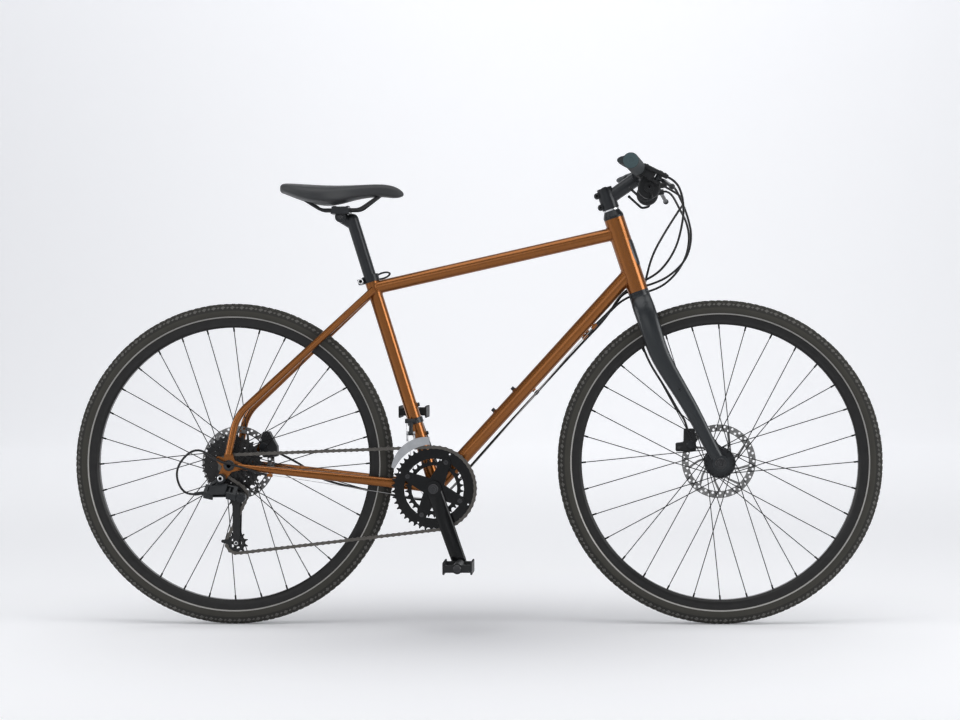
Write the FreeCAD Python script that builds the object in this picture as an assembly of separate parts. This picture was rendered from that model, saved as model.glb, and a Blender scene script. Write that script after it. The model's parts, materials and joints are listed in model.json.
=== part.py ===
import FreeCAD, Part
import math
import os
from FreeCAD import Vector as V

os.makedirs("parts", exist_ok=True)

# Driving sizes of the bicycle, in millimetres and degrees
wheel_radius = 349.0
tyre_width = 38.0
wheelbase = 1053.0
chainstay_length = 442.6
bb_drop = 52.0
seat_angle = 73.0
head_angle = 72.0
fork_rake = 50.0
fork_span = 405.0
head_tube_length = 165.0
head_tube_od = 44.0
top_tube_od = 28.6
down_tube_od = 31.8
seat_tube_od = 29.8
seat_tube_length = 480.0
top_tube_on_seat = 452.0
top_tube_below_head = 32.0
down_tube_above_head = 45.0
tube_wall = 1.4
bb_shell_width = 68.0
bb_shell_od = 40.0
rear_hub_width = 135.0
front_hub_width = 100.0
dropout_thickness = 7.0

# Driving sizes of the running gear
crank_length = 170.0
crank_angle = -70.2
chain_pitch = 12.7
big_ring_teeth = 44
small_ring_teeth = 30
cog_teeth = (11, 13, 15, 18, 21, 24, 28, 32)
cog_spacing = 4.8
sprocket_thickness = 1.8
big_ring_y = -50.5
small_ring_y = -42.5
first_cog_y = -62.5
pulley_teeth = 11
pulley_thickness = 1.9
pedal_reach = 138.0
rotor_radius = 80.0
rotor_thickness = 1.8
spoke_count = 32
spoke_radius = 1.0
flange_hole_radius = 29.0

# Driving sizes of the rider's contact points
post_od = 27.2
stem_length = 90.0
stem_rise = 17.0
stem_stack = 44.0
bar_half_width = 308.0
bar_sweep = 6.0
bar_rise = 8.0
bar_centre_od = 31.8
bar_grip_od = 22.2
grip_length = 130.0
saddle_length = 268.0
saddle_width = 150.0
saddle_above_tube = 201.0
saddle_nose_x = -152.0
rail_drop = 58.0
post_insertion = 162.5
clamp_x = -289.0

# Fits between pieces that turn or slide on each other
running_fit = 0.05
slide_fit = 0.03

Y = V(0, 1, 0)
nodes = {}


# Small drawing helpers
def unit(vector):
    copy = V(vector)
    copy.normalize()
    return copy


def rod(p, q, r):
    return Part.makeCylinder(r, (q - p).Length, p, q - p)


def pipe(p, q, r_out, r_in):
    return rod(p, q, r_out).cut(rod(p, q, r_in))


def taper(p, q, r_start, r_end):
    return Part.makeCone(r_start, r_end, (q - p).Length, p, q - p)


def ball(p, r):
    return Part.makeSphere(r, p)


def join(shapes):
    result = shapes[0].multiFuse(list(shapes[1:]))
    return result.removeSplitter()


def lathe(points, centre):
    """Turns a (radius, y) outline about the axle direction through centre."""
    outline = [V(r, y, 0) for r, y in points]
    outline.append(outline[0])
    solid = Part.Face(Part.makePolygon(outline)).revolve(V(0, 0, 0), Y, 360)
    solid.translate(centre)
    return solid


def loop(r, centre):
    return Part.Wire([Part.makeCircle(r, centre, Y)])


def sheet(wires, y, thickness):
    """Flat plate drawn in the plane of the bicycle, from y towards +y."""
    face = Part.makeFace(wires, "Part::FaceMakerBullseye")
    solid = face.extrude(V(0, thickness, 0))
    solid.translate(V(0, y, 0))
    return solid


def polygon(points):
    return Part.makePolygon(points + [points[0]])


def capsule(p, q, r_start, r_end, y, thickness):
    """Flat link with round ends from p to q."""
    start = V(p.x, y, p.z)
    end = V(q.x, y, q.z)
    along = end - start
    gap = along.Length
    along = unit(along)
    side = along.cross(Y)
    lean = math.asin(max(-0.99, min(0.99, (r_start - r_end) / gap)))
    sine = math.sin(lean)
    cosine = math.cos(lean)
    left = along * sine + side * cosine
    right = along * sine - side * cosine
    a = start + left * r_start
    b = end + left * r_end
    c = end + right * r_end
    d = start + right * r_start
    wire = Part.Wire([
        Part.LineSegment(a, b).toShape(),
        Part.Arc(b, end + along * r_end, c).toShape(),
        Part.LineSegment(c, d).toShape(),
        Part.Arc(d, start - along * r_start, a).toShape(),
    ])
    return Part.Face(wire).extrude(V(0, thickness, 0))


def oval(centre, major, minor):
    if major.Length >= minor.Length:
        curve = Part.Ellipse(centre + major, centre + minor, centre)
        return Part.Wire([curve.toShape()])
    curve = Part.Ellipse(centre + minor, centre - major, centre)
    edge = curve.toShape()
    return Part.Wire([edge])


def loft(wires, ruled=False):
    return Part.makeLoft(wires, True, ruled)


def route(points, radius):
    """Straight runs joined by tangent arcs."""
    edges = []
    last = points[0]
    for before, corner, after in zip(points, points[1:], points[2:]):
        to_before = unit(before - corner)
        to_after = unit(after - corner)
        angle = to_before.getAngle(to_after)
        if angle > math.pi - 0.002:
            continue
        reach = radius / math.tan(angle / 2)
        reach = min(reach, 0.46 * (before - corner).Length)
        reach = min(reach, 0.46 * (after - corner).Length)
        bend = reach * math.tan(angle / 2)
        middle = unit(to_before + to_after)
        middle = corner + middle * (bend / math.sin(angle / 2) - bend)
        first = corner + to_before * reach
        second = corner + to_after * reach
        if (first - last).Length > 0.001:
            edges.append(Part.LineSegment(last, first).toShape())
        edges.append(Part.Arc(first, middle, second).toShape())
        last = second
    edges.append(Part.LineSegment(last, points[-1]).toShape())
    return Part.Wire(edges)


def cord(points, radius, r):
    """Round cord along a route."""
    path = route(points, radius)
    edge = path.Edges[0]
    at = edge.valueAt(edge.FirstParameter)
    heading = edge.tangentAt(edge.FirstParameter)
    section = Part.Wire([Part.makeCircle(r, at, heading)])
    return path.makePipeShell([section], True, False)


def put(name, *shapes):
    solids = []
    for shape in shapes:
        solids.extend(shape.Solids)
    nodes[name] = Part.makeCompound(solids)


def mirror(shape):
    return shape.mirror(V(0, 0, 0), Y)


def turned(shape, centre, axis, angle):
    copy = shape.copy()
    copy.rotate(centre, axis, angle)
    return copy


# Points that the rest of the bicycle hangs on
rear_axle = V(-wheelbase / 2, 0, wheel_radius)
front_axle = V(wheelbase / 2, 0, wheel_radius)
bb_reach = math.sqrt(chainstay_length ** 2 - bb_drop ** 2)
bb = V(rear_axle.x + bb_reach, 0, wheel_radius - bb_drop)
seat_lean = math.radians(seat_angle)
head_lean = math.radians(head_angle)
seat_up = V(-math.cos(seat_lean), 0, math.sin(seat_lean))
seat_back = V(-math.sin(seat_lean), 0, -math.cos(seat_lean))
steer_up = V(-math.cos(head_lean), 0, math.sin(head_lean))
steer_ahead = V(math.sin(head_lean), 0, math.cos(head_lean))
steer_foot = front_axle - steer_ahead * fork_rake
head_low = steer_foot + steer_up * fork_span
head_top = head_low + steer_up * head_tube_length
seat_top = bb + seat_up * seat_tube_length
saddle_height = seat_top.z + saddle_above_tube
rail_height = saddle_height - rail_drop


def on_post(distance):
    return bb + seat_up * distance


def on_steerer(distance):
    """Point on the steering axis, measured up from the top of the head tube."""
    return head_top + steer_up * distance


# Frame tubes, each mitred against its neighbours
head_r = head_tube_od / 2
seat_r = seat_tube_od / 2
top_r = top_tube_od / 2
down_r = down_tube_od / 2
head_solid = rod(head_low, head_top, head_r)
head_bore = head_r - 2.8
steerer_r = 14.3
seat_solid = rod(bb, seat_top, seat_r)
post_bore = post_od / 2 + slide_fit
shell_solid = rod(bb - Y * (bb_shell_width / 2), bb + Y * (bb_shell_width / 2), bb_shell_od / 2)
shell_bore = bb_shell_od / 2 - 3.0

top_a = on_post(top_tube_on_seat)
top_b = head_top - steer_up * top_tube_below_head
down_b = head_low + steer_up * down_tube_above_head
down_dir = unit(down_b - bb)
down_under = down_dir.cross(Y)
if down_under.z > 0:
    down_under = down_under * -1

put("head_tube", head_solid.cut(rod(head_low - steer_up, head_top + steer_up, head_bore)))
top_tube = pipe(top_a, top_b, top_r, top_r - tube_wall)
put("top_tube", top_tube.cut(seat_solid).cut(head_solid))
seat_tube = seat_solid.cut(rod(bb, seat_top + seat_up, post_bore))
put("seat_tube", seat_tube.cut(shell_solid))


def cable_stop(distance, y):
    """Housing stop brazed under the down tube."""
    at = bb + down_dir * distance + Y * y
    root = at + down_under * (down_r - 3)
    tip = at + down_under * (down_r + 5.5)
    body = rod(root, tip, 3.4)
    barrel = rod(tip - down_dir * 7 - down_under, tip + down_dir * 7 - down_under, 3.8)
    bore = rod(tip - down_dir * 9 - down_under, tip + down_dir * 9 - down_under, 0.9)
    pocket = rod(tip - down_dir * 3 - down_under, tip + down_dir * 9 - down_under, 2.55)
    return join([body, barrel]).cut(bore).cut(pocket), tip - down_under


down_length = (down_b - bb).Length
stop_near_distance = down_length - 142.0
stop_far_distance = down_length - 172.0
stop_near, near_tip = cable_stop(stop_near_distance, -7.0)
stop_far, far_tip = cable_stop(stop_far_distance, 7.0)
down_outer = rod(bb, down_b, down_r)
down_tube = join([down_outer, stop_near, stop_far])
down_tube = down_tube.cut(rod(bb, down_b, down_r - tube_wall))
down_tube = down_tube.cut(shell_solid).cut(head_solid).cut(seat_solid)
put("down_tube", max(down_tube.Solids, key=lambda s: s.Volume))

# Bottom bracket shell with the guide for the two gear wires below it
guide_low = bb - V(0, 0, bb_shell_od / 2 - 1)
guide = Part.makeBox(24, 34, 7, V(bb.x - 12, -17, bb.z - bb_shell_od / 2 - 5))
shell = join([shell_solid, guide])
shell = shell.cut(rod(bb - Y * 60, bb + Y * 60, shell_bore))
put("bottom_bracket_shell", shell)

# Dropouts with the derailleur hanger, the rack eyelets and the brake tab
drop_y = rear_hub_width / 2
stay_tip = rear_axle + V(22, 0, -2)
seat_tip = rear_axle + V(-1, 0, 25)
hanger = rear_axle + V(-16.5, 0, -27)
eyelet = rear_axle + V(-23, 0, 14)
rotor_rear_y = drop_y - 15.0
rear_caliper_at = rear_axle + V(62, 0, 38)
axle_r = 6.0


def dropout(side):
    y = drop_y if side > 0 else -drop_y - dropout_thickness
    pieces = [
        capsule(rear_axle, stay_tip, 15, 8, y, dropout_thickness),
        capsule(rear_axle, seat_tip, 15, 8.5, y, dropout_thickness),
        capsule(rear_axle, eyelet, 12, 6, y, dropout_thickness),
    ]
    if side < 0:
        pieces.append(capsule(rear_axle, hanger, 13, 9, y, dropout_thickness))
    else:
        pieces.append(capsule(rear_axle, rear_caliper_at, 13, 12, y, dropout_thickness))
    body = join(pieces)
    for point, r in ((rear_axle, axle_r), (eyelet, 2.1)):
        low = V(point.x, y - 1, point.z)
        body = body.cut(rod(low, low + Y * (dropout_thickness + 2), r))
    if side < 0:
        low = V(hanger.x, y - 1, hanger.z)
        body = body.cut(rod(low, low + Y * (dropout_thickness + 2), 4.2))
    return body


drop_right = dropout(-1)
drop_left = dropout(1)
put("rear_dropouts", drop_right, drop_left)


# Chainstays and seatstays with their bridges
def chainstay(side):
    tip_y = drop_y + 6.0
    near = 0.04
    sections = (
        (near, 26.0, 11.0, 7.5),
        (0.225, 33.0, 10.5, 7.0),
        (0.55, 52.0, 9.0, 7.2),
        (0.955, tip_y, 6.5, 5.5),
    )
    wires = []
    line = rear_axle - bb
    for share, y, half_height, half_width in sections:
        at = bb + line * share + V(0, side * y, 0)
        wires.append(oval(at, V(0, 0, half_height), V(0, half_width, 0)))
    return loft(wires)


stay_r = 8.0
stay_head = bb + seat_up * (top_tube_on_seat - 4)
bend_point = rear_axle + V(15.5, 0, 106)


def seatstay(side):
    points = [
        V(stay_head.x, side * 16, stay_head.z),
        V(bend_point.x, side * 66, bend_point.z),
        V(seat_tip.x, side * (drop_y + 8.3), seat_tip.z - 2),
    ]
    return cord(points, 95.0, stay_r), points


stop_share = 0.80
stay_stop_root = bb + (rear_axle - bb) * stop_share + Y * -66.0
stay_stop = stay_stop_root + V(0, -6.5, -11.0)
stay_stop_way = unit(unit(rear_axle - bb) + Y * -0.12)
stay_stop_a = stay_stop - stay_stop_way * 6
stay_stop_b = stay_stop + stay_stop_way * 6
stays = []
seat_points = None
for side in (-1, 1):
    plate = drop_right if side < 0 else drop_left
    lower = chainstay(side).cut(shell_solid).cut(seat_solid).cut(down_outer).cut(plate)
    if side < 0:
        lower = max(lower.Solids, key=lambda s: s.Volume)
        lower = lower.fuse(rod(stay_stop_root, stay_stop, 2.4)).fuse(rod(stay_stop_a, stay_stop_b, 3.6))
        lower = lower.cut(rod(stay_stop_a, stay_stop_b, 0.9)).cut(rod(stay_stop, stay_stop_b, 2.5))
    stays.append(max(lower.Solids, key=lambda s: s.Volume))
    upper, seat_points = seatstay(side)
    upper = upper.cut(seat_solid).cut(plate).cut(rod(top_a, top_b, top_r))
    stays.append(max(upper.Solids, key=lambda s: s.Volume))
bridge_at = seat_points[0] + (seat_points[1] - seat_points[0]) * 0.27
bridge = rod(V(bridge_at.x, -bridge_at.y, bridge_at.z), bridge_at, 5.0)
bridge_hole = V(bridge_at.x, 0, bridge_at.z)
for stay in stays:
    bridge = bridge.cut(stay)
bridge = max(bridge.Solids, key=lambda s: s.Volume)
low_bridge_at = bb + (rear_axle - bb) * 0.15
low_bridge = rod(V(low_bridge_at.x, -30, low_bridge_at.z), V(low_bridge_at.x, 30, low_bridge_at.z), 6.0)
for stay in stays:
    low_bridge = low_bridge.cut(stay)
low_bridge = max(low_bridge.Solids, key=lambda s: s.Volume)
put("rear_stays", *stays, bridge, low_bridge)

# Headset cups with their bearings
cup_lip = 4.0
cups = []
for end, out in ((head_top, steer_up), (head_low, steer_up * -1)):
    sleeve = pipe(end - out * 12, end, head_bore, 17.0)
    flange = pipe(end, end + out * cup_lip, head_r, 17.0)
    cups.append(join([sleeve, flange]))
    cups.append(pipe(end - out * 6, end + out * 2, 17.0, steerer_r + running_fit))
bearing_cups = list(cups)

# Bottom bracket cups with their bearings
spindle_r = 12.0
cup_out = bb_shell_width / 2
cups = []
for side in (-1, 1):
    face = bb + Y * (side * cup_out)
    far = bb + Y * (side * (cup_out + 5))
    deep = bb + Y * (side * (cup_out - 16))
    flange = pipe(face, far, 20.5, spindle_r + 5)
    sleeve = pipe(deep, face, shell_bore, spindle_r + 5)
    cups.append(join([flange, sleeve]))
    cups.append(pipe(deep + Y * (side * 12), far, spindle_r + 5, spindle_r + running_fit))
put("bearing_cups", *bearing_cups, *cups)

# Seat collar and its lever
collar_low = seat_tube_length - 14.0
collar_high = seat_tube_length + 1.0
collar = pipe(on_post(collar_low), on_post(collar_high), seat_r + 3.2, seat_r)
lug_mid = on_post(seat_tube_length - 6.5) + seat_back * (seat_r + 6.5)
lug = Part.makeBox(14, 22, 12, V(-7, -11, -6))
lug.Placement = FreeCAD.Placement(lug_mid, FreeCAD.Rotation(V(1, 0, 0), V(0, 1, 0), seat_up, "ZXY"))
lug = lug.cut(rod(on_post(collar_low - 20), on_post(collar_high + 20), seat_r))
slot = Part.makeBox(20, 2.2, 20, V(-10, -1.1, -10))
slot.Placement = FreeCAD.Placement(lug_mid, FreeCAD.Rotation(V(1, 0, 0), V(0, 1, 0), seat_up, "ZXY"))
collar = join([collar, lug]).cut(slot).cut(rod(lug_mid - Y * 30, lug_mid + Y * 30, 2.6))
collar = max(collar.Solids, key=lambda s: s.Volume)
lever_axis = lug_mid + Y * 22.5
skewer = join([
    rod(lug_mid - Y * 17, lug_mid + Y * 22.5, 2.3),
    rod(lug_mid + Y * 11, lug_mid + Y * 15.4, 6.0),
    rod(lug_mid - Y * 17, lug_mid - Y * 11, 6.0),
    rod(lever_axis - seat_up * 2, lever_axis + seat_up * 2, 4.0),
    rod(lever_axis - seat_up * 6, lever_axis + seat_up * 6, 1.8),
])
put("seat_collar", collar, skewer)
ahead = seat_back * -1
root_block = Part.makeBox(9, 9, 12, V(4.8, -4.5, -6))
root_block.Placement = FreeCAD.Placement(lever_axis, FreeCAD.Rotation(ahead, Y, seat_up, "XYZ"))
lever_turn = FreeCAD.Rotation(ahead, Y, seat_up, "XYZ")
ring_wires = [oval(V(0, 0, 0), V(half, 0, 0), V(0, 0, rise_half)) for half, rise_half in ((18.0, 8.0), (13.5, 4.0))]
lever_ring = sheet(ring_wires, -2.5, 5.0)
lever_ring.Placement = FreeCAD.Placement(lever_axis + ahead * 46 + Y * 2, lever_turn)
arm_points = [lever_axis + ahead * 9, lever_axis + ahead * 30 + Y * 2]
cams = [rod(lever_axis + seat_up * low, lever_axis + seat_up * (low + 3.5), 6.4) for low in (-6.2, 2.7)]
lever_body = join(cams + [root_block, rod(arm_points[0], arm_points[1], 3.4), lever_ring])
lever_body = lever_body.cut(rod(lever_axis - seat_up * 9, lever_axis + seat_up * 9, 1.8 + running_fit))
put("seat_collar_lever", lever_body)

# Seatpost, saddle clamp, rails, base and cover
post_top_z = rail_height - 21.0
post_reach = (post_top_z - bb.z) / seat_up.z
post_low = on_post(seat_tube_length - post_insertion)
post_high = on_post(post_reach)
clamp_at = V(clamp_x, 0, rail_height - 15.0)
post = rod(post_low, post_high, post_od / 2)
neck = rod(post_high - seat_up * 12, clamp_at, 12.0)
cradle = rod(clamp_at - Y * 17, clamp_at + Y * 17, 12.0)
seatpost = join([post, neck, cradle, ball(post_high, post_od / 2)])
seatpost = seatpost.cut(rod(post_low - seat_up, post_high - seat_up * 30, post_od / 2 - 2.2))
rail_y = 22.0
rail_r = 3.5
base_z = saddle_height - 20.0
saddle_rear_x = saddle_nose_x - saddle_length
rails = []
for side in (-1, 1):
    points = [
        V(saddle_rear_x + 34, side * 30, base_z - 3),
        V(clamp_x - 42, side * rail_y, rail_height),
        V(clamp_x + 42, side * rail_y, rail_height),
        V(saddle_nose_x - 46, side * 6, base_z - 3),
    ]
    rails.append(cord(points, 30.0, rail_r))
low_jaw = Part.makeBox(40, 2 * rail_y + 12, 9, V(clamp_x - 20, -rail_y - 6, rail_height - 9))
high_jaw = Part.makeBox(36, 2 * rail_y + 12, 7, V(clamp_x - 18, -rail_y - 6, rail_height))
for rail in rails:
    low_jaw = low_jaw.cut(rail)
    high_jaw = high_jaw.cut(rail)
low_jaw = low_jaw.cut(seatpost)
put("seatpost", seatpost)
put("saddle_clamp", max(low_jaw.Solids, key=lambda s: s.Volume), max(high_jaw.Solids, key=lambda s: s.Volume))

half = saddle_width / 2
outline = (
    (0.0, 0.55, 22.0, -1.0),
    (0.06, 0.80, 33.0, 1.5),
    (0.2, 0.98, 46.0, 2.0),
    (0.34, 0.90, 44.0, 0.0),
    (0.48, 0.58, 36.0, -2.5),
    (0.64, 0.34, 30.0, -2.0),
    (0.82, 0.25, 27.0, 0.0),
    (0.93, 0.21, 26.0, -5.0),
    (1.0, 0.13, 11.0, -15.0),
)


def saddle_section(x, width, depth, lift):
    top = saddle_height + lift
    points = [
        V(x, 0, top),
        V(x, width * 0.55, top - depth * 0.07),
        V(x, width * 0.9, top - depth * 0.26),
        V(x, width, top - depth * 0.62),
        V(x, width * 0.9, top - depth),
        V(x, 0, top - depth * 0.86),
        V(x, -width * 0.9, top - depth),
        V(x, -width, top - depth * 0.62),
        V(x, -width * 0.9, top - depth * 0.26),
        V(x, -width * 0.55, top - depth * 0.07),
    ]
    curve = Part.BSplineCurve()
    curve.interpolate(points, PeriodicFlag=True)
    return Part.Wire([curve.toShape()])


cover_wires = []
for share, width, depth, lift in outline:
    x = saddle_rear_x + saddle_length * share
    cover_wires.append(saddle_section(x, half * width, depth, lift))
cover = loft(cover_wires)
pocket_points = [
    V(saddle_rear_x + 16, 30, 0),
    V(saddle_rear_x + 50, 56, 0),
    V(saddle_rear_x + 92, 50, 0),
    V(saddle_rear_x + 150, 22, 0),
    V(saddle_nose_x - 16, 8, 0),
]
pocket_line = pocket_points + [V(p.x, -p.y, 0) for p in reversed(pocket_points)]
pocket = Part.Face(polygon(pocket_line)).extrude(V(0, 0, 80))
pocket.translate(V(0, 0, base_z - 80))
cover = cover.cut(pocket)
put("saddle_cover", max(cover.Solids, key=lambda s: s.Volume))
base = Part.Face(polygon(pocket_line)).extrude(V(0, 0, 5))
base.translate(V(0, 0, base_z - 5))
for rail in rails:
    base = base.cut(rail)
put("saddle_base", max(base.Solids, key=lambda s: s.Volume), *rails)

# Fork with its steerer, spacers and stem
crown_top = -9.0


def below_head(distance):
    return head_low - steer_up * distance


def fork_blade(side):
    reach = fork_span + 5.0
    sections = (
        (12.0, 0.0, 10.0, 21.0, 12.0),
        (38.0, 0.0, 29.0, 23.0, 12.0),
        (85.0, 0.0, 42.0, 22.0, 10.5),
        (140.0, 0.5, 45.5, 20.5, 9.8),
        (225.0, fork_rake * 0.33, 48.0, 17.6, 9.0),
        (310.0, fork_rake * 0.67, 52.0, 14.8, 8.0),
        (fork_span - 12.0, fork_rake * 0.95, 56.0, 12.5, 6.4),
    )
    wires = []
    for down, ahead, y, half_long, half_wide in sections:
        at = below_head(down) + steer_ahead * ahead + Y * (side * y)
        wires.append(oval(at, steer_ahead * half_long, Y * half_wide))
    return loft(wires)


fork_y = front_hub_width / 2
fork_pieces = []
for side in (-1, 1):
    fork_pieces.append(fork_blade(side))
    inner = front_axle + Y * (side * fork_y)
    fork_pieces.append(rod(inner, inner + Y * (side * 13), 17.0))
crown = rod(below_head(9.0), below_head(44.0), 22.5)
steerer = rod(below_head(20.0), on_steerer(stem_stack + 20.0), steerer_r)
fork = join(fork_pieces + [crown, steerer])
fork = fork.cut(rod(below_head(60.0), on_steerer(stem_stack + 30.0), 11.5))
fork = fork.cut(rod(front_axle - Y * 90, front_axle + Y * 90, axle_r))
fork_eyelet = below_head(228.0) + steer_ahead * (fork_rake * 0.34)
for side in (-1, 1):
    start = fork_eyelet + Y * (side * 48)
    fork = fork.cut(rod(start, start + Y * (side * 30), 2.1))
put("fork", max(fork.Solids, key=lambda s: s.Volume))

race = pipe(below_head(9.0), below_head(cup_lip + 0.4), 22.2, steerer_r)
cover_low = cup_lip + 0.4
cone = taper(on_steerer(cover_low), on_steerer(16.0), 22.6, 17.5)
cone = cone.cut(rod(head_top, on_steerer(40.0), steerer_r))
ring = pipe(on_steerer(16.0), on_steerer(22.0), 17.0, steerer_r)
put("headset_spacers", race, cone, ring)

stem_low = 22.0
stem_high = stem_stack + 20.0
stem_mid = on_steerer(stem_stack)
rise = math.radians(stem_rise)
stem_dir = steer_ahead * math.cos(rise) + steer_up * math.sin(rise)
stem_over = stem_dir.cross(Y) * -1
bar_at = stem_mid + stem_dir * stem_length
bar_r = bar_centre_od / 2
stem_body = join([
    rod(on_steerer(stem_low), on_steerer(stem_high), 18.5),
    taper(stem_mid, bar_at, 14.5, 15.5),
    rod(bar_at - Y * 22, bar_at + Y * 22, bar_r + 5.5),
])
for lift in (-13.0, 13.0):
    lug_at = on_steerer(stem_stack + lift) - steer_ahead * 20
    stem_body = stem_body.fuse(rod(lug_at - Y * 11, lug_at + Y * 11, 6.5))
stem_body = stem_body.removeSplitter()
stem_body = stem_body.cut(rod(on_steerer(0), on_steerer(stem_high + 10), steerer_r))
stem_body = stem_body.cut(rod(bar_at - Y * 40, bar_at + Y * 40, bar_r))
front_half = Part.makeBox(60, 80, 80, V(1.2, -40, -40))
front_half.Placement = FreeCAD.Placement(bar_at, FreeCAD.Rotation(stem_dir, Y, stem_over, "XYZ"))
stem_main = stem_body.cut(front_half)
faceplate = pipe(bar_at - Y * 22, bar_at + Y * 22, bar_r + 5.5, bar_r).common(front_half)
top_cap = rod(on_steerer(stem_high), on_steerer(stem_high + 5), 16.5).cut(stem_main)
put("stem", max(stem_main.Solids, key=lambda s: s.Volume), max(faceplate.Solids, key=lambda s: s.Volume), top_cap)

# Handlebar and grips
grip_r = bar_grip_od / 2
bend_y = 62.0
bar_end = V(
    bar_at.x - (bar_half_width - bend_y) * math.tan(math.radians(bar_sweep)),
    bar_half_width,
    bar_at.z + bar_rise,
)


def along_bar(y):
    """Centre of the bar at a distance y from the middle."""
    share = (abs(y) - bend_y) / (bar_half_width - bend_y)
    share = max(share, 0.0)
    return V(bar_at.x + (bar_end.x - bar_at.x) * share, y, bar_at.z + (bar_end.z - bar_at.z) * share)


bar_pieces = [
    rod(bar_at - Y * 30, bar_at + Y * 30, bar_r),
    taper(bar_at + Y * 30, bar_at + Y * 52, bar_r, grip_r),
    taper(bar_at - Y * 30, bar_at - Y * 52, bar_r, grip_r),
]
bar_line = [along_bar(-bar_half_width), along_bar(-bend_y), along_bar(bend_y), along_bar(bar_half_width)]
handlebar = join(bar_pieces + [cord(bar_line, 60.0, grip_r)])
handlebar = handlebar.cut(cord(bar_line, 60.0, grip_r - 2.0))
put("handlebar", handlebar)


def grip(side):
    inner = along_bar(side * (bar_half_width - grip_length + 3))
    outer = along_bar(side * bar_half_width)
    axis = unit(outer - inner)
    end = outer + axis * 4
    sleeve = rod(inner, end, 16.4)
    rear = V(-1, 0, 0) - axis * (V(-1, 0, 0).dot(axis))
    rear = unit(rear)
    up = axis.cross(rear)
    if up.z < 0:
        up = up * -1
    wires = []
    for share, wide, thick in ((0.30, 12.0, 10.0), (0.55, 16.0, 10.0), (0.8, 19.0, 9.0), (1.0, 18.0, 8.5)):
        middle = inner + (end - inner) * share + rear * (wide * 0.5) + up * 1.5
        wires.append(oval(middle, rear * (wide * 0.5 + 10), up * thick))
    wing = loft(wires)
    body = join([sleeve, wing])
    return body.cut(rod(inner - axis * 5, outer, grip_r))


put("grips", grip(-1), grip(1))

# Brake levers with their clamps and cylinders
lever_tilt = math.radians(-27.0)
lever_out = V(math.cos(lever_tilt), 0, math.sin(lever_tilt))
lever_up = V(-math.sin(lever_tilt), 0, math.cos(lever_tilt))
lever_clamp_y = bar_half_width - grip_length - 26.0
pivot_reach = 46.0


def lever_point(side, reach, y, lift=0.0):
    at = along_bar(side * y)
    return at + lever_out * reach + lever_up * lift


def brake_body(side):
    start = along_bar(side * (lever_clamp_y - 7))
    end = along_bar(side * (lever_clamp_y + 7))
    clamp = rod(start, end, grip_r + 4.5)
    root = lever_point(side, 6, lever_clamp_y)
    block = Part.makeBox(58, 24, 9, V(6, -12, 7))
    frame = FreeCAD.Rotation(lever_out, Y, lever_up, "XYZ")
    block.Placement = FreeCAD.Placement(along_bar(side * lever_clamp_y), frame)
    block = block.makeFillet(3.0, block.Edges)
    web = Part.makeBox(30, 12, 16, V(8, -6, -8))
    web.Placement = FreeCAD.Placement(along_bar(side * lever_clamp_y), frame)
    fork_low = Part.makeBox(18, 20, 5, V(pivot_reach - 9, -10, -11))
    fork_low.Placement = FreeCAD.Placement(along_bar(side * lever_clamp_y), frame)
    bridge = Part.makeBox(12, 12, 12, V(26, -6, -11))
    bridge.Placement = FreeCAD.Placement(along_bar(side * lever_clamp_y), frame)
    body = join([clamp, block, web, fork_low, bridge])
    inside = along_bar(side * (lever_clamp_y - 30))
    outside = along_bar(side * (lever_clamp_y + 30))
    body = body.cut(rod(inside, outside, grip_r))
    pivot = lever_point(side, pivot_reach, lever_clamp_y)
    sweep = rod(pivot - lever_up * 5.6, pivot + lever_up * 6.6, 8.8)
    body = body.cut(sweep)
    pin = rod(pivot - lever_up * 11, pivot + lever_up * 9, 2.5)
    return join([body, pin])


def brake_blade(side):
    pivot = lever_point(side, pivot_reach, lever_clamp_y)
    hub = rod(pivot - lever_up * 5, pivot + lever_up * 6, 7.0)
    points = [
        pivot,
        lever_point(side, 64.0, lever_clamp_y + 12),
        lever_point(side, 70.0, lever_clamp_y + 50, -2.0),
        lever_point(side, 93.0, lever_clamp_y + 114, -8.0),
    ]
    blade = cord(points, 20.0, 4.2)
    body = join([hub, blade, ball(points[-1], 6.2)])
    return body.cut(rod(pivot - lever_up * 20, pivot + lever_up * 20, 2.5 + running_fit))


put("brake_lever_bodies", brake_body(-1), brake_body(1))
put("brake_lever_right", brake_blade(-1))
put("brake_lever_left", brake_blade(1))
lever_pivot_right = lever_point(-1, pivot_reach, lever_clamp_y)
lever_pivot_left = lever_point(1, pivot_reach, lever_clamp_y)

# Gear shifters below the bar with their thumb levers
shifter_y = lever_clamp_y - 30.0
pod_r = 24.0


def pod_centre(side):
    at = along_bar(side * shifter_y)
    return at + V(20.0, 0, -37.0)


def shifter_pod(side):
    centre = pod_centre(side)
    start = along_bar(side * (shifter_y - 6))
    end = along_bar(side * (shifter_y + 6))
    clamp = rod(start, end, grip_r + 4.5)
    drum = rod(centre - Y * 11, centre + Y * 11, pod_r)
    drum = drum.makeFillet(5.0, drum.Edges)
    strut = rod(along_bar(side * shifter_y), centre, 8.0)
    nose = rod(centre, centre + V(36, side * -4, 6), 6.0)
    body = join([clamp, drum, strut, nose])
    body = body.cut(rod(along_bar(side * (shifter_y - 20)), along_bar(side * (shifter_y + 20)), grip_r))
    pin = rod(centre, centre + Y * (side * 18), 4.0)
    return join([body, pin])


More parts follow.
